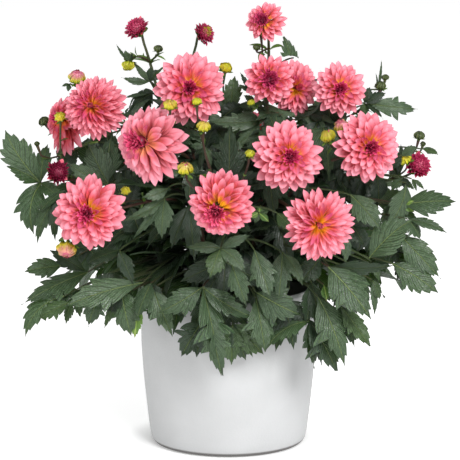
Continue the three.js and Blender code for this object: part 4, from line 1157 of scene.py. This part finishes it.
def bud(shape, head, random):
    """A round bud of overlapping shells on its stalk, with spreading bracts below it."""
    stalk = line_of(head.name).at(np.linspace(0, 1, STALK_POINTS))
    radii = [STALK_RADIUS] * (STALK_POINTS - 1) + [STALK_MOUTH * STALK_RADIUS]
    tube(shape, stalk, radii, STALK_SIDES, (random.random(), random.random(), 0), STEM)
    rosy = -1 if head.name in GREEN_BUDS else ROSY_BUDS.get(head.name, 0)
    core(shape, head, BUD_CORE, (-0.88, 0.74 + 0.12 * rosy), (0.2, rosy, 0), slot=BUD)
    tint = random.random()
    for k in range(BUD_SHELLS):
        tip = (0.2, random.uniform(*SHELL_TOP))
        local, places = blade((0.3, -0.93), (1.58, -0.2), tip, k * GOLDEN, 0.5, -0.3, SHELL_BLADE, random,
                              widest=0.45, point=0.6)
        shape.sheet(head.world(local), places, (tint, rosy, 0.3 * random.random()), BUD)
    for k in range(round(ROSY_PETALS * rosy)):
        tip = (0.3, random.uniform(*ROSY_TOP))
        local, places = blade((0.3, 0.2), (0.5, 0.75), tip, k * GOLDEN, 0.22, 0.6, BUD_BLADE, random)
        shape.sheet(head.world(local), places, (tint, 1, 1), BUD)
    for k in range(BUD_BRACTS):
        angle = (k + BUD_BRACT_STRAY * random.random()) / BUD_BRACTS * FULL_TURN
        tip = (random.uniform(*BRACT_REACH), random.uniform(*BRACT_RISE))
        local, places = blade((0.25, -0.95), (0.9, -0.85), tip, angle, 0.26, 0.2, BUD_BLADE, random)
        shape.sheet(head.world(local), places, (random.random(), random.random(), 0.8), YOUNG)


def young_leaves(shape, head, random):
    """Small plain leaves along a bud's stalk, the larger ones where it forks off."""
    line = line_of(head.name)
    for k in range(YOUNG_LEAVES):
        at_foot = k < FOOT_PAIR
        place = FOOT_PAIR_AT if at_foot else random.uniform(*YOUNG_AT)
        start, way = line.at(place)[0], line.tangent(place)[0]
        across = unit(np.cross(way, unit(np.array([0.3, 1, 0.1]))))
        side = turned(across, way, random.uniform(-0.7, 0.7) + k * YOUNG_TURN)
        size = random.uniform(*FOOT_PAIR_SIZE if at_foot else YOUNG_SIZE)
        places = places_of(*SMALL_BLADE)
        s, t = places[..., 0:1], places[..., 1:2]
        wide = size * random.uniform(*YOUNG_WIDTH) * np.sin(lerp(0.04, 1, s) * math.pi) ** 0.8
        ahead = unit(side + way * random.uniform(*YOUNG_AHEAD))
        beside = unit(np.cross(ahead, way))
        face = np.cross(beside, ahead)
        lift = np.abs(t) * wide * 0.5 - s ** 2 * size * 0.3
        points = start + ahead * s * size + beside * t * wide + face * lift
        shape.sheet(points, places, (random.random(), random.random(), 0.6), YOUNG)


# Blooms and half-open heads

def style_of(head):
    """How a bloom looks. Values that its own style leaves out are the plain ones."""
    return {**PLAIN_STYLE, **STYLES.get(head.name, {})}


def bloom_petals(head, materials, random):
    """The petals of a bloom, from the inmost to the outmost, which open flatter on its far side."""
    shape = Shape()
    style = style_of(head)
    inmost = HEART_SHARE * (style["heart"] - 1)
    for k in range(style["count"]):
        t = k / (style["count"] - 1)
        angle = k * GOLDEN + random.uniform(-PETAL_STRAY, PETAL_STRAY)
        facing_far = 0.5 + 0.5 * math.cos(angle - math.radians(style["far"]))
        far = style["open"] + facing_far * style["lean"]
        first, growth = (lerp(NEAR_TIPS[key], FAR_TIPS[key], far) for key in ("first", "growth"))
        longest = LONGEST + style["stretch"] * facing_far ** 2
        ring = min(t / FULL_FROM, 1)
        reach = lerp(first + inmost, longest, ring ** growth) * random.uniform(*PETAL_LENGTH)
        height = DOME["rise"] * math.sqrt(max(1 - min(reach, 1) ** 2, 0)) - DOME["drop"]
        height += DOME["lean"] * (0.5 * style["lean"] + style["open"] - far) * (1 - 0.5 * t)
        height += random.uniform(-PETAL_RISE, PETAL_RISE)
        root = (lerp(*ROOT_REACH, t) + inmost, lerp(*ROOT_HEIGHT, t))
        bend = (lerp(root[0], reach, PETAL_BEND), height + 0.05 + 0.04 * t - 0.12 * far)
        half = lerp(*HALF_WIDTH, t ** 0.5) * random.uniform(*PETAL_WIDTH) * style["wide"]
        local, places = blade(root, bend, (reach, height), angle, half, lerp(*CUPPING, t) * style["fold"],
                              PETAL_BLADE, random, widest=0.64, point=style["tip"])
        shift = np.array([*style["shift"], 0]) * (1 - t) ** 1.5
        warm = style["warm"] * lerp(0.5, 1.1, facing_far)
        layer = max(t - 0.1 * (1 - facing_far), 0)
        pale = PETAL_TONE * random.random() + style["pale"]
        shape.sheet(head.world(local + shift), places, (pale, warm, layer), 0)
    return shape.piece(head.name + "_petals", materials, "petals", head.name + "_petals")


def bloom_heart(head, materials, random):
    """The tight rolled petals in the middle of a bloom, round a small core."""
    shape = Shape()
    style = style_of(head)
    size = HEART_SIZE * style["heart"]
    shift = np.array([*style["shift"], 0])
    core(shape, head, HEART_CORE["radius"] * size, HEART_CORE["heights"], HEART_CORE["tint"], shift)
    count = round(HEART_COUNT * max(style["heart"], 0.8))
    for k in range(count):
        t = math.sqrt((k + 0.5) / count)
        reach = size * lerp(*HEART_REACH, t) * random.uniform(0.85, 1.15)
        height = HEART_HEIGHT - HEART_DOME * t ** 2 + random.uniform(-0.08, 0.08)
        root = (reach * 0.3, HEART_ROOT)
        bend = (reach * lerp(1.1, 0.6, t), height - lerp(0.1, 0, t))
        half = lerp(*HEART_WIDTH, t)
        local, places = blade(root, bend, (reach, height), k * GOLDEN, half, 1.0, SMALL_BLADE, random,
                              widest=0.6, point=0.9)
        shape.sheet(head.world(local + shift), places, (random.random(), style["rosy"], t), 0)
    return shape.piece(head.name + "_heart", materials, "hearts", head.name + "_heart")


def core(shape, head, radius, heights, tint, shift=0, slot=0):
    """A small rounded body that the petals round it stand on."""
    rings = []
    rows, sides = CORE_GRID
    angles = np.arange(sides) / sides * FULL_TURN
    for share in np.linspace(0.03, 0.97, rows):
        r = radius * math.sin(share * math.pi)
        h = lerp(*heights, (1 - math.cos(share * math.pi)) / 2)
        rings.append(np.stack([r * np.cos(angles), r * np.sin(angles), np.full(sides, h)], axis=-1))
    shape.body(head.world(np.array(rings) + shift), places_of(rows, sides), tint, slot)


def opening(head, materials, random):
    """A half-open head: a dome of pointed florets over a core, and the first petals that spread from it."""
    shape = Shape()
    dark = DARKNESS[head.name]
    core(shape, head, OPENING_CORE, (BACKS["opening"]["height"], OPENING_TOP), (0.2, dark, 0))
    for k in range(FLORET_COUNT):
        t = ((k + 0.5) / FLORET_COUNT) ** FLORET_SPREAD
        lean = t * math.pi / 2
        outer = smooth(0.8, 1, t)
        reach = FLORET_REACH * math.sin(lean) ** 0.95 * random.uniform(1 - 0.06 * t, 1 + 0.1 * t)
        reach += 0.3 * outer * random.random()
        height = 0.08 + 0.8 * math.cos(lean) + random.uniform(-0.05, 0.07)
        root = (reach * 0.45, height - 0.5)
        bend = (reach * 0.8, height - 0.26 * (1 - 0.6 * t))
        half = lerp(*FLORET_WIDTH, t) * (1 - 0.25 * outer)
        local, places = blade(root, bend, (reach, height), k * GOLDEN, half, FLORET_FOLD, SMALL_BLADE,
                              random, widest=0.5, point=1.25)
        green = t < GREEN_CENTRES.get(head.name, 0)
        tint = (random.random(), FLORET_GREEN if green else dark, t)
        shape.sheet(head.world(local), places, tint, 1 if green else 0)
    for angle, length, half in FIRST_PETALS[head.name]:
        local, places = blade((0.5, -0.2), (0.9, -0.1), (length, 0.15), math.radians(angle), half, 0.5,
                              FIRST_BLADE, random)
        shape.sheet(head.world(local), places, (random.random(), 1, 1), 0)
    return shape.piece(head.name, materials, "hearts", head.name)


# Planter and soil

def lathe(rows, sides):
    """Rings of points from rows of [radius, height]."""
    angles = np.arange(sides) / sides * FULL_TURN
    radius, height = (np.array(column, float)[:, None] for column in zip(*rows))
    return np.stack([radius * np.cos(angles), radius * np.sin(angles), height + 0 * angles], axis=-1)


def rounded(rows, steps):
    """Rows of [radius, height] with a smooth curve through them."""
    rows = np.array(rows, float)
    slopes = np.gradient(rows, axis=0)
    made = []
    for a, b, p, q in zip(rows[:-1], rows[1:], slopes[:-1], slopes[1:]):
        for s in np.arange(steps) / steps:
            made.append(a * (2 * s ** 3 - 3 * s ** 2 + 1) + p * (s ** 3 - 2 * s ** 2 + s)
                        + b * (3 * s ** 2 - 2 * s ** 3) + q * (s ** 3 - s ** 2))
    return made + [rows[-1]]


def planter(materials):
    """A hollow planter with a rounded rim."""
    shape = Shape()
    profile = POT_BASE + rounded(POT_OUTSIDE + POT_RIM, POT_STEPS) + POT_INSIDE + [POT_FLOOR]
    shape.body(lathe(profile, POT_SIDES), places_of(len(profile), POT_SIDES), (0, 0, 0), 0)
    return shape.piece("planter", materials, "planter", "pot")


def crumbs(x, y, random):
    """Uneven ground, as three patterns of waves that cross."""
    phases = [random.uniform(0, 6) for _ in range(6)]
    return (np.sin(x / 3.1 + phases[0]) * np.sin(y / 2.7 + phases[1])
            + 0.7 * np.sin(x / 1.3 + y / 2.1 + phases[2]) * np.sin(y / 1.2 - x / 1.9 + phases[3])
            + 1.2 * np.sin(x / 9 + phases[4]) * np.sin(y / 8 + phases[5]))


def soil(materials, random):
    """The filling of the planter, with crumbs on its top, which rises a little to the middle."""
    shape = Shape()
    side = [[r - SOIL_GAP, h] for r, h in SOIL_SIDE]
    rim = radius_at(POT_INSIDE + [POT_RIM[2]], SOIL_EDGE) - SOIL_GAP
    top = [[rim * (1 - share), lerp(SOIL_EDGE, SOIL_TOP, smooth(0, SOIL_LEVEL_FROM, share))]
           for share in np.linspace(0, 0.98, SOIL_RINGS)]
    points = lathe(side + top, POT_SIDES)
    loose = points[len(side) + 1:]
    loose[..., 2] += CRUMB_HEIGHT * crumbs(loose[..., 0], loose[..., 1], random)
    shape.body(points, places_of(len(points), POT_SIDES), (0, 0, 0), 0)
    return shape.piece("compost", materials, "soil", "soil")


# Materials

class Nodes:
    """A material's node tree, written as calls."""

    def __init__(self, name):
        self.material = bpy.data.materials.new(name)
        self.material.use_nodes = True
        self.tree = self.material.node_tree
        self.tree.nodes.clear()

    def add(self, kind, inputs=None, output=0, **settings):
        node = self.tree.nodes.new("ShaderNode" + kind)
        for key, value in settings.items():
            setattr(node, key, value)
        for key, value in (inputs or {}).items():
            socket = node.inputs[key]
            if isinstance(value, bpy.types.NodeSocket):
                self.tree.links.new(value, socket)
            else:
                socket.default_value = value
        return node.outputs[output]

    def maths(self, operation, *values):
        return self.add("Math", dict(enumerate(values)), operation=operation)

    def plus(self, first, second):
        return self.maths("ADD", first, second)

    def minus(self, first, second):
        return self.maths("SUBTRACT", first, second)

    def times(self, first, second):
        return self.maths("MULTIPLY", first, second)

    def most(self, first, second):
        return self.maths("MAXIMUM", first, second)

    def size_of(self, value):
        return self.maths("ABSOLUTE", value)

    def mix(self, share, first, second):
        colour = [(*c, 1) if isinstance(c, tuple) else c for c in (first, second)]
        return self.add("Mix", {0: share, 6: colour[0], 7: colour[1]}, output=2, data_type="RGBA")

    def paint(self, colour, coat, share, strength):
        """A colour with a coat on it where the share is high."""
        return self.mix(self.times(share, strength), colour, coat)

    def step(self, value, low, high):
        """0 below low, 1 above high, and smooth between. low may be the higher one."""
        return self.ramp(value, low, high, 0.0, 1.0, interpolation_type="SMOOTHSTEP")

    def ramp(self, value, low, high, first, last, **settings):
        """A value between low and high, as one between first and last."""
        return self.add("MapRange", {0: value, 1: low, 2: high, 3: first, 4: last}, **settings)

    def spot(self):
        """The place on the object, in metres."""
        return self.add("TexCoord", output=3)

    def noise(self, scale, detail=3.0, roughness=0.55, vector=None):
        inputs = {"Scale": scale, "Detail": detail, "Roughness": roughness, "Vector": vector or self.spot()}
        return self.add("TexNoise", inputs)

    def cells(self, scale, **settings):
        return self.add("TexVoronoi", {"Vector": self.spot(), "Scale": scale}, **settings)

    def parts(self, vector):
        split = self.tree.nodes.new("ShaderNodeSeparateXYZ")
        self.tree.links.new(vector, split.inputs[0])
        return split.outputs

    def attribute(self, name):
        return self.parts(self.add("Attribute", output=1, attribute_name=name))

    def length(self, vector):
        return self.add("VectorMath", {0: vector}, output=1, operation="LENGTH")

    def underside(self):
        """1 on the side of a blade that its faces turn away from."""
        return self.add("NewGeometry", output=6)

    def depth_shade(self):
        """How deep inside the plant a place is, for painted shade, where a step upwards counts less than one
        outwards.
        """
        away = self.add("VectorMath", {0: self.spot(), 1: DARK_MIDDLE}, operation="SUBTRACT")
        level = self.add("VectorMath", {0: away, 1: (1, 1, DIM_RISE)}, operation="MULTIPLY")
        return self.step(self.length(level), *DIM_FROM_MIDDLE)

    def vein_lines(self, phase, width):
        """Fine lines wherever the phase is a whole number."""
        off = self.minus(self.maths("FRACT", self.plus(phase, 0.5)), 0.5)
        return self.step(self.size_of(off), width, 0.0)

    def bump(self, height, distance):
        return self.add("Bump", {"Height": height, "Distance": distance, "Strength": 1.0})

    def surface(self, colour, roughness, normal, uniform):
        inputs = {"Base Color": colour, "Roughness": roughness, "Normal": normal}
        inputs.update({key.replace("_", " "): value for key, value in uniform.items()})
        return self.add("BsdfPrincipled", inputs)

    def finish(self, shader):
        node = self.tree.nodes.new("ShaderNodeOutputMaterial")
        self.tree.links.new(shader, node.inputs["Surface"])
        return self.material

    def solid(self, colour, roughness, normal, **uniform):
        """A surface that lets no light through."""
        return self.finish(self.surface(colour, roughness, normal, uniform))

    def thin(self, share, colour, through, roughness, normal, **uniform):
        """A thin blade: a surface that also lets light through."""
        front = self.surface(colour, roughness, normal, uniform)
        behind = self.add("BsdfTranslucent", {"Color": through, "Normal": normal})
        return self.finish(self.add("MixShader", {0: share, 1: front, 2: behind}))


def leaf_material():
    """Dark satin green with a pale midrib, side veins and a fine net of others, a greyer underside, and
    painted shade and sheen.
    """
    n, paint = Nodes("leaf"), LEAF_COLOURS
    along, across, phase = n.attribute("place")
    hue, light, fresh = n.attribute("tint")
    midrib = n.step(n.size_of(across), n.minus(0.06, n.times(along, 0.03)), 0.005)
    midrib = n.times(midrib, n.step(along, 0.97, 0.8))
    veins = n.vein_lines(n.plus(phase, 0.5), 0.06)
    # Painted shade: a dark line beside each side vein, on its shaded side
    beside = n.vein_lines(n.plus(phase, 0.62), 0.14)
    small = n.vein_lines(n.times(phase, 2.0), 0.2)
    # Painted shade in the grooves between the fine veins
    grooves = n.vein_lines(n.plus(n.times(phase, 2.0), 0.3), 0.3)
    net = n.step(n.cells(330.0, feature="DISTANCE_TO_EDGE"), 0.2, 0.0)
    mottle = n.noise(60.0)
    # Paler flecks, painted highlight on a crumpled surface, stronger on paler leaflets
    crumple_highlight = n.step(n.noise(230.0, 2.0), 0.42, 0.66)
    # Painted shade on leaflets whose paleness is below nought
    shaded = n.times(n.step(light, 0.0, -1.0), 0.9)
    # Painted shade deep in the plant, less on the palest leaflets, and on shaded ones
    inside = n.most(n.times(n.depth_shade(), n.step(light, 1.1, 0.0)), shaded)

    green = n.mix(hue, *paint["green"])
    for coat, share, strength in (
            # Paleness: partly a leaf's own tone and partly painted sheen
            ("mottle", n.step(mottle, 0.4, 0.7), 0.5), ("pale", n.most(light, 0.0), 0.8),
            ("fresh", fresh, 0.8), ("net", net, 0.45), ("beside", beside, 0.65), ("groove", grooves, 0.8),
            ("crumple_highlight", crumple_highlight, n.ramp(light, -0.5, 1.0, 0.05, 0.3)), ("small", small, 0.5),
            ("vein", veins, 0.75), ("midrib", midrib, 0.8), ("inside", inside, 0.75)):
        green = n.paint(green, paint[coat], share, strength)
    under = n.mix(n.most(midrib, n.times(veins, 0.5)), *paint["under"])
    # Painted shade on the underside as well
    under = n.paint(under, paint["under_shade"], inside, 0.75)

    sunken = n.plus(n.most(midrib, n.times(veins, 0.8)), n.times(small, 0.3))
    relief = n.minus(n.times(mottle, 0.8), n.plus(sunken, n.times(net, 0.1)))
    rough = n.ramp(mottle, 0.3, 0.7, 0.3, 0.48)
    return n.thin(0.11, n.mix(n.underside(), green, under), paint["through"], rough, n.bump(relief, 0.0014),
                  Specular_IOR_Level=0.5)


def young_material():
    """Bright young green for bracts and small leaves."""
    n, paint = Nodes("young_leaf"), YOUNG_COLOURS
    along, across, _ = n.attribute("place")
    hue = n.attribute("tint")[0]
    midrib = n.step(n.size_of(across), 0.2, 0.05)
    green = n.mix(hue, *paint["green"])
    green = n.paint(green, paint["mottle"], n.noise(90.0), 0.5)
    green = n.mix(midrib, green, paint["midrib"])
    green = n.paint(green, paint["tip"], n.step(along, 0.75, 1.0), 0.4)
    return n.thin(0.18, green, paint["through"], 0.45, n.bump(midrib, 0.0004), Specular_IOR_Level=0.4)


def stem_material():
    """Green to reddish brown with fine lengthwise ridges, and painted shade on leaf stalks deep in the
    plant.
    """
    n, paint = Nodes("stem"), STEM_COLOURS
    across = n.attribute("place")[1]
    hue, _, stalk = n.attribute("tint")
    blush = n.step(n.plus(n.noise(18.0), n.times(hue, 0.5)), 0.45, 0.85)
    ridges = n.maths("SINE", n.times(across, 38.0))
    colour = n.mix(blush, *paint["stem"])
    colour = n.paint(colour, paint["ridge"], n.step(ridges, 0.2, 1.0), 0.3)
    # Painted shade on leaf stalks deep in the plant
    colour = n.paint(colour, paint["inside"], n.times(n.depth_shade(), stalk), 0.8)
    return n.solid(colour, 0.45, n.bump(ridges, 0.0003))


def bud_material():
    """Yellow-green shells, greener at the foot, with a rosy flush at the mouth of the larger buds."""
    n, paint = Nodes("bud"), BUD_COLOURS
    along, across, _ = n.attribute("place")
    hue, rosy, inner = n.attribute("tint")
    rim = n.step(n.size_of(across), 0.6, 1.0)
    colour = n.mix(n.step(along, 0.05, 0.6), *paint["shell"])
    colour = n.paint(colour, paint["fresh"], hue, 0.35)
    colour = n.paint(colour, paint["mottle"], n.step(n.noise(70.0), 0.5, 0.75), 0.55)
    colour = n.paint(colour, paint["rim"], rim, 0.5)
    colour = n.mix(n.step(rosy, -0.2, -0.8), colour, n.mix(rim, *paint["unripe"]))
    colour = n.paint(colour, paint["flush"], n.step(along, 0.45, 0.85), n.most(rosy, 0.0))
    colour = n.paint(colour, paint["petal"], n.step(inner, 0.5, 1.0), 0.8)
    normal = n.bump(n.maths("SINE", n.times(across, 14.0)), 0.0002)
    return n.solid(colour, 0.32, normal, Subsurface_Weight=0.12, Subsurface_Radius=(0.004, 0.003, 0.001),
                   Subsurface_Scale=1.0)


def petal_material():
    """Salmon pink with paler ends, partly painted highlight, orange to yellow foot, fine lengthwise veins,
    deeper back, painted shade.
    """
    n, paint = Nodes("petal"), PETAL_COLOURS
    along, across, _ = n.attribute("place")
    hue, warm, layer = n.attribute("tint")
    off = n.size_of(across)
    lines = n.add("CombineXYZ", {0: n.times(along, 1.2), 1: n.times(across, 7.0), 2: hue})
    streaks = n.noise(2.2, 2.0, 0.5, lines)
    # Deeper red low on the petal, partly its own colour and partly painted shade where it shows in the gaps
    rich = n.minus(0.75, n.times(hue, 0.55))
    # Painted shade in the petal's cupped middle, low down
    valley_shade = n.times(n.step(off, 0.4, 0.0), n.step(along, 0.95, 0.5))
    # Painted shade along the petal's edges towards its end
    margin_shade = n.times(n.step(off, 0.7, 1.0), n.step(along, 0.98, 0.75))
    glow = n.times(n.step(along, 0.6, 0.25), n.plus(0.25, n.times(warm, 0.75)))
    inmost = n.times(n.step(layer, 0.14, 0.0), n.step(along, 0.45, 0.8))

    colour = n.mix(hue, *paint["petal"])
    for coat, share, strength in (
            ("streak", n.step(streaks, 0.4, 0.75), 0.35), ("rich", n.step(along, 0.85, 0.45), rich),
            # Paler ends, partly the petal's own colour and partly painted highlight
            ("valley_shade", valley_shade, n.times(rich, 0.8)), ("end", n.step(along, 0.6, 0.95), 0.5),
            ("margin_shade", margin_shade, n.plus(rich, 0.1)),
            ("foot", n.step(along, 0.75, 0.3), n.plus(0.15, n.times(warm, 0.55))),
            ("glow", glow, n.step(layer, 0.45, 0.05)), ("inmost", inmost, 0.8),
            # Painted shade low on the outer petals, in the gaps between them
            ("deep", n.step(along, 0.62, 0.2), n.step(layer, 0.15, 0.45)), ("back", n.underside(), 0.55)):
        colour = n.paint(colour, paint[coat], share, strength)
    return n.thin(0.15, colour, n.mix(0.5, colour, paint["through"]), 0.5, n.bump(streaks, 0.0004),
                  Sheen_Weight=0.06, Sheen_Roughness=0.4, Specular_IOR_Level=0.3)


def heart_material():
    """Dark crimson rolled petals with rosy rims and painted shade at their feet."""
    n, paint = Nodes("heart"), HEART_COLOURS
    along, across, _ = n.attribute("place")
    hue, light, _ = n.attribute("tint")
    rim = n.times(n.step(n.size_of(across), 0.5, 1.0), n.step(along, 0.35, 0.9))
    colour = n.mix(hue, *paint["heart"])
    for coat, share, strength in (
            ("end", n.step(along, 0.55, 1.0), 0.55), ("rim", rim, 0.7),
            # Painted shade at the florets' feet, deep in the heart
            ("foot", n.step(along, 0.4, 0.05), 0.8),
            ("dark", n.step(light, 0.0, -1.0), n.step(along, 1.5, 0.65)),
            ("darkest", n.step(light, -0.7, -1.0), 0.45)):
        colour = n.paint(colour, paint[coat], share, strength)
    colour = n.paint(colour, n.mix(along, *paint["rosy"]), n.most(light, 0.0), 0.85)
    return n.solid(colour, 0.45, n.bump(n.noise(150.0), 0.0003), Specular_IOR_Level=0.4)


def planter_material():
    """Matt white glaze with faint mottling and a dark band at the foot, a painted shadow where it meets the
    floor.
    """
    n, paint = Nodes("planter"), PLANTER_COLOURS
    cloud = n.noise(9.0, 4.0)
    grain = n.noise(420.0, 2.0)
    # Painted shadow along the foot, where the planter meets the floor
    foot = n.step(n.parts(n.spot())[2], *FOOT_SHADOW)
    colour = n.mix(n.step(cloud, 0.35, 0.7), *paint["glaze"])
    colour = n.paint(colour, paint["foot"], foot, 0.9)
    relief = n.plus(n.times(cloud, 2.0), n.times(grain, 0.25))
    return n.solid(colour, n.ramp(grain, 0.3, 0.7, 0.5, 0.66), n.bump(relief, 0.0008))


def soil_material():
    """Dark moist crumbs with some paler fibres."""
    n, paint = Nodes("compost"), SOIL_COLOURS
    fine = n.noise(600.0)
    colour = n.mix(n.step(fine, 0.35, 0.7), *paint["crumb"])
    colour = n.mix(n.step(n.noise(200.0), 0.66, 0.72), colour, paint["fibre"])
    return n.solid(colour, 0.9, n.bump(n.plus(n.cells(260.0), fine), 0.003))


def floor_material():
    """A white sweep that glows a little, less so close to the planter."""
    n = Nodes("floor")
    glow = n.ramp(n.length(n.spot()), *GLOW_FROM_AXIS, *FLOOR_GLOW, interpolation_type="SMOOTHSTEP")
    surface = n.add("BsdfPrincipled", {
        "Base Color": FLOOR_WHITE, "Roughness": 0.8, "Specular IOR Level": 0.1,
        "Emission Color": (1, 1, 1, 1), "Emission Strength": glow,
    })
    return n.finish(surface)


# The whole plant

def dress_plant():
    leaf_slots = [leaf_material(), stem_material(), bud_material(), young_material()]
    petal_slots, heart_slots = [petal_material()], [heart_material()]
    planter([planter_material()])
    soil([soil_material()], Random(SOIL_SEED))
    for index, shoot in enumerate(SHOOTS):
        random = Random(FOLIAGE_SEED + index)
        shape = Shape()
        leaves(shape, shoot, random)
        for head in heads.values():
            if head.shoot != shoot:
                continue
            if head.kind == "bud":
                bud(shape, head, random)
                young_leaves(shape, head, random)
            else:
                stem(shape, head, random)
        shape.piece("foliage_" + shoot, leaf_slots, "foliage", "leafy_stem_" + shoot)
    for head in heads.values():
        random = Random(head.seed)
        if head.kind == "bloom":
            bloom_petals(head, petal_slots, random)
            bloom_heart(head, heart_slots, random)
        elif head.kind == "opening":
            opening(head, heart_slots + [leaf_slots[BUD]], random)


# Stage, light and camera

def stage():
    mesh = bpy.data.meshes.new("floor")
    corners = ((-1, -1, 0), (1, -1, 0), (1, 1, 0), (-1, 1, 0))
    mesh.from_pydata([[FLOOR_SIZE * share for share in corner] for corner in corners], [], [(0, 1, 2, 3)])
    mesh.materials.append(floor_material())
    floor = bpy.data.objects.new("floor", mesh)
    bpy.context.scene.collection.objects.link(floor)


def softbox(name, place, size, power):
    light = bpy.data.lights.new(name, "AREA")
    light.shape, light.energy = "RECTANGLE", power
    light.size, light.size_y = size
    box = bpy.data.objects.new(name, light)
    box.location = place
    box.rotation_euler = aimed(np.array(LAMP_AIM) - np.array(place))
    bpy.context.scene.collection.objects.link(box)


def aimed(way):
    """The turns that point a light's or camera's back axis away from a direction."""
    way = unit(way)
    return (math.acos(-way[2]), 0, math.atan2(-way[0], way[1]))


def lights():
    """An even pale surround, seen by the camera as white, with a large key light and a weak fill."""
    world = bpy.data.worlds.new("studio")
    bpy.context.scene.world = world
    world.use_nodes = True
    tree = world.node_tree
    background = tree.nodes["Background"]
    background.inputs["Color"].default_value = (1, 1, 1, 1)
    seen = tree.nodes.new("ShaderNodeLightPath").outputs["Is Camera Ray"]
    strength = tree.nodes.new("ShaderNodeMapRange")
    strength.inputs["To Min"].default_value = SURROUND
    strength.inputs["To Max"].default_value = 1.0
    tree.links.new(seen, strength.inputs["Value"])
    tree.links.new(strength.outputs[0], background.inputs["Strength"])
    softbox("key", **KEY_LAMP)
    softbox("fill", **FILL_LAMP)


def camera():
    lens = bpy.data.cameras.new("camera")
    lens.lens, lens.sensor_width, lens.sensor_height = LENS, SENSOR, SENSOR
    made = bpy.data.objects.new("camera", lens)
    tilt = math.radians(CAMERA_ELEVATION)
    back = np.array([0, -math.cos(tilt), math.sin(tilt)])
    made.location = (np.array(AIM) + back * CAMERA_DISTANCE) * MM
    made.rotation_euler = aimed(-back)
    bpy.context.scene.collection.objects.link(made)
    bpy.context.scene.camera = made


camera()
stage()
lights()
dress_plant()
bpy.context.scene.view_settings.view_transform = "Standard"
